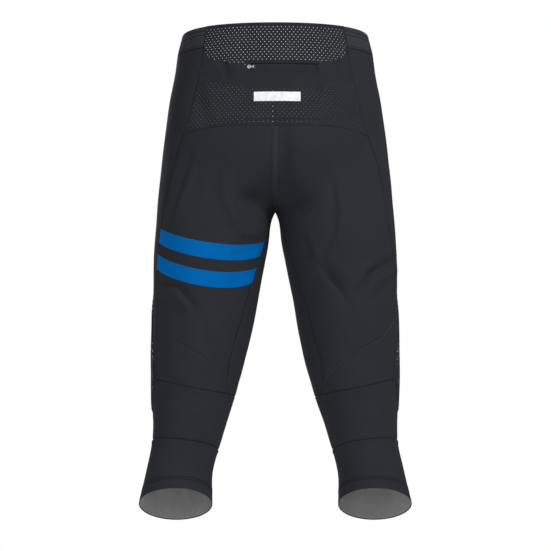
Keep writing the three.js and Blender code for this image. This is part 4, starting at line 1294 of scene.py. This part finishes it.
def buildCoilTree(tree):
    given = addNode(tree, "NodeGroupInput")
    path = addNode(tree, "GeometryNodeMeshToCurve", {"Mesh": given.outputs["Geometry"]})
    even = addNode(tree, "GeometryNodeResampleCurve", {
        "Curve": path.outputs[0], "Length": given.outputs["Pitch"]}, mode="LENGTH")
    tangent = addNode(tree, "GeometryNodeInputTangent")
    outward = addNode(tree, "GeometryNodeInputNamedAttribute", {"Name": "outward"}, data_type="FLOAT_VECTOR")
    along = addNode(tree, "FunctionNodeAlignRotationToVector", {"Vector": tangent.outputs[0]}, axis="Z")
    upright = addNode(tree, "FunctionNodeAlignRotationToVector", {
        "Rotation": along.outputs[0], "Vector": outward.outputs["Attribute"]}, axis="X", pivot_axis="Z")
    loop = addNode(tree, "GeometryNodeCurvePrimitiveCircle", {
        "Resolution": 8, "Radius": given.outputs["Loop Radius"]}, mode="RADIUS")
    wire = addNode(tree, "GeometryNodeCurvePrimitiveCircle", {
        "Resolution": 5, "Radius": given.outputs["Wire Radius"]}, mode="RADIUS")
    bar = addNode(tree, "GeometryNodeCurveToMesh", {
        "Curve": loop.outputs[0], "Profile Curve": wire.outputs[0]})
    placed = addNode(tree, "GeometryNodeInstanceOnPoints", {
        "Points": even.outputs[0], "Instance": bar.outputs[0], "Rotation": upright.outputs[0],
        "Scale": given.outputs["Stretch"]})
    real = addNode(tree, "GeometryNodeRealizeInstances", {"Geometry": placed.outputs[0]})
    painted = addNode(tree, "GeometryNodeSetMaterial", {
        "Geometry": real.outputs[0], "Material": given.outputs["Nylon"]})
    addNode(tree, "NodeGroupOutput", {"Geometry": painted.outputs[0]})


buildCoilTree(coilTree)
for name, up in (("zip_coil_upper", 1), ("zip_coil_lower", -1)):
    x = np.linspace(zipPlan["from"] - 0.5, zipPlan["to"] + 0.5, 120)
    centre = onZip(x, np.full_like(x, zipPlan["coilOuter"] - 0.8), np.full_like(x, zipPlan["coilApart"] * up))
    carrier = bpy.data.objects.new("coilPath", bpy.data.meshes.new("coilPath"))
    carrier.data.from_pydata((centre * mm).tolist(), [(i, i + 1) for i in range(len(x) - 1)], [])
    outward = np.tile(zipOut, (len(x), 1))
    carrier.data.attributes.new("outward", "FLOAT_VECTOR", "POINT").data.foreach_set(
        "vector", outward.astype(np.float32).ravel())
    bpy.context.collection.objects.link(carrier)
    mesh = applyTree(carrier, coilTree, {
        coilInputs["pitch"]: zipPlan["coilPitch"] * mm, coilInputs["radius"]: zipPlan["coilLoop"] * mm,
        coilInputs["wire"]: zipPlan["coilWire"] * mm, coilInputs["stretch"]: (0.5, 1.0, 1.0),
        coilInputs["material"]: nylonCoil})
    bpy.data.objects.remove(carrier)
    mesh.name = name
    mesh.shade_smooth()
    coil = bpy.data.objects.new(f"{name}_made", mesh)
    bpy.context.collection.objects.link(coil)
    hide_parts(name)
    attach(coil, "garment")

# stitches that hold the tape, just outside the window
windowRows = []
for drop in (yoke["windowTop"] - 2.0, yoke["windowBottom"] + 2.0):
    across = np.linspace(yoke["windowTo"] + 3, yoke["windowFrom"] - 3, 120)
    side, around = yokePlace(across, np.full_like(across, drop))
    windowRows.append((side, around, np.full_like(across, drop)))
for across in (yoke["windowTo"] + 2.5, yoke["windowFrom"] - 2.5):
    drop = np.linspace(yoke["windowTop"] - 2, yoke["windowBottom"] + 2, 20)
    side, around = yokePlace(np.full_like(drop, across), drop)
    windowRows.append((side, around, drop))
stitches("zip_stitches", windowRows, "topstitch", blackThread)

for node, finish in (("zip_slider", lacqueredZinc), ("zip_puller", castZinc), ("zip_stop_left", nylonCoil),
                     ("zip_stop_right", nylonCoil)):
    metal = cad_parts[node]
    metal.data.materials.clear()
    metal.data.materials.append(finish)
print("zip made")


# Floor, light and camera
def areaLight(name, place, target, size, power):
    light = bpy.data.lights.new(name, "AREA")
    light.shape, light.size, light.energy = "DISK", size, power
    lamp = bpy.data.objects.new(name, light)
    lamp.location = place
    lamp.rotation_euler = (Vector(target) - Vector(place)).to_track_quat("-Z", "Y").to_euler()
    bpy.context.collection.objects.link(lamp)


middle = (0.0, 0.0, -0.38)
areaLight("keyLight", (-1.7, 2.1, 2.1), middle, 0.8, 80)
areaLight("fillLight", (2.2, 2.4, 0.2), middle, 1.8, 14)
areaLight("lowLight", (0.3, 2.6, -1.2), middle, 1.4, 10)
areaLight("backLight", (0.6, -2.4, 0.8), middle, 1.6, 46)

# a small lamp inside the garment, so that its pale reverse shows through the openings
innerLight = bpy.data.lights.new("innerLight", "POINT")
innerLight.energy, innerLight.shadow_soft_size = 0.24, 0.04
innerLamp = bpy.data.objects.new("innerLight", innerLight)
innerLamp.location = (0.0, 0.03, -0.12)
innerLamp.visible_camera = False
bpy.context.collection.objects.link(innerLamp)

world = bpy.data.worlds.new("paleStudio")
bpy.context.scene.world = world
world.use_nodes = True
world.node_tree.nodes.clear()
rays = addNode(world.node_tree, "ShaderNodeLightPath")
seen = addNode(world.node_tree, "ShaderNodeMapRange", {
    "Value": rays.outputs["Is Camera Ray"], "To Min": 0.39, "To Max": 1.0})
paleAir = addNode(world.node_tree, "ShaderNodeBackground", {
    "Color": (1, 1, 1, 1), "Strength": seen.outputs[0]})
addNode(world.node_tree, "ShaderNodeOutputWorld", {"Surface": paleAir.outputs[0]})

floorMaterial, floorTree = startMaterial("paintedFloor")
floorPlace = addNode(floorTree, "ShaderNodeTexCoord")
floorGrain = addNode(floorTree, "ShaderNodeTexNoise", {"Vector": floorPlace.outputs["Object"], "Scale": 40.0})
floorRamp = addNode(floorTree, "ShaderNodeValToRGB", {"Fac": floorGrain.outputs["Fac"]})
floorRamp.color_ramp.elements[0].color = colour("#f4f4f4")
floorRamp.color_ramp.elements[1].color = colour("#fbfbfb")
finishMaterial(floorTree, floorRamp.outputs[0], floorGrain.outputs["Fac"], 0.0002, None, Roughness=0.9)
floorPlan = {"half": 40, "height": -1.5}   # metres
floorMesh = bpy.data.meshes.new("floor")
floorMesh.from_pydata(
    [(x * floorPlan["half"], y * floorPlan["half"], floorPlan["height"])
     for x, y in ((-1, -1), (1, -1), (1, 1), (-1, 1))], [], [(0, 1, 2, 3)])
floorMesh.materials.append(floorMaterial)
floor = bpy.data.objects.new("floor", floorMesh)
bpy.context.collection.objects.link(floor)

view = {"distance": 6.0, "lens": 251, "elevation": -8.0, "aim": (-0.0004, 0.0, -0.382)}
camera = bpy.data.objects.new("camera", bpy.data.cameras.new("camera"))
tilt = math.radians(view["elevation"])
away = Vector((0, math.cos(tilt), math.sin(tilt)))
camera.location = Vector(view["aim"]) + away * view["distance"]
camera.rotation_euler = (-away).to_track_quat("-Z", "Y").to_euler()
camera.data.lens = view["lens"]
camera.data.clip_end = 100
bpy.context.collection.objects.link(camera)
bpy.context.scene.camera = camera
bpy.context.scene.view_settings.view_transform = "Standard"

print("scene complete")
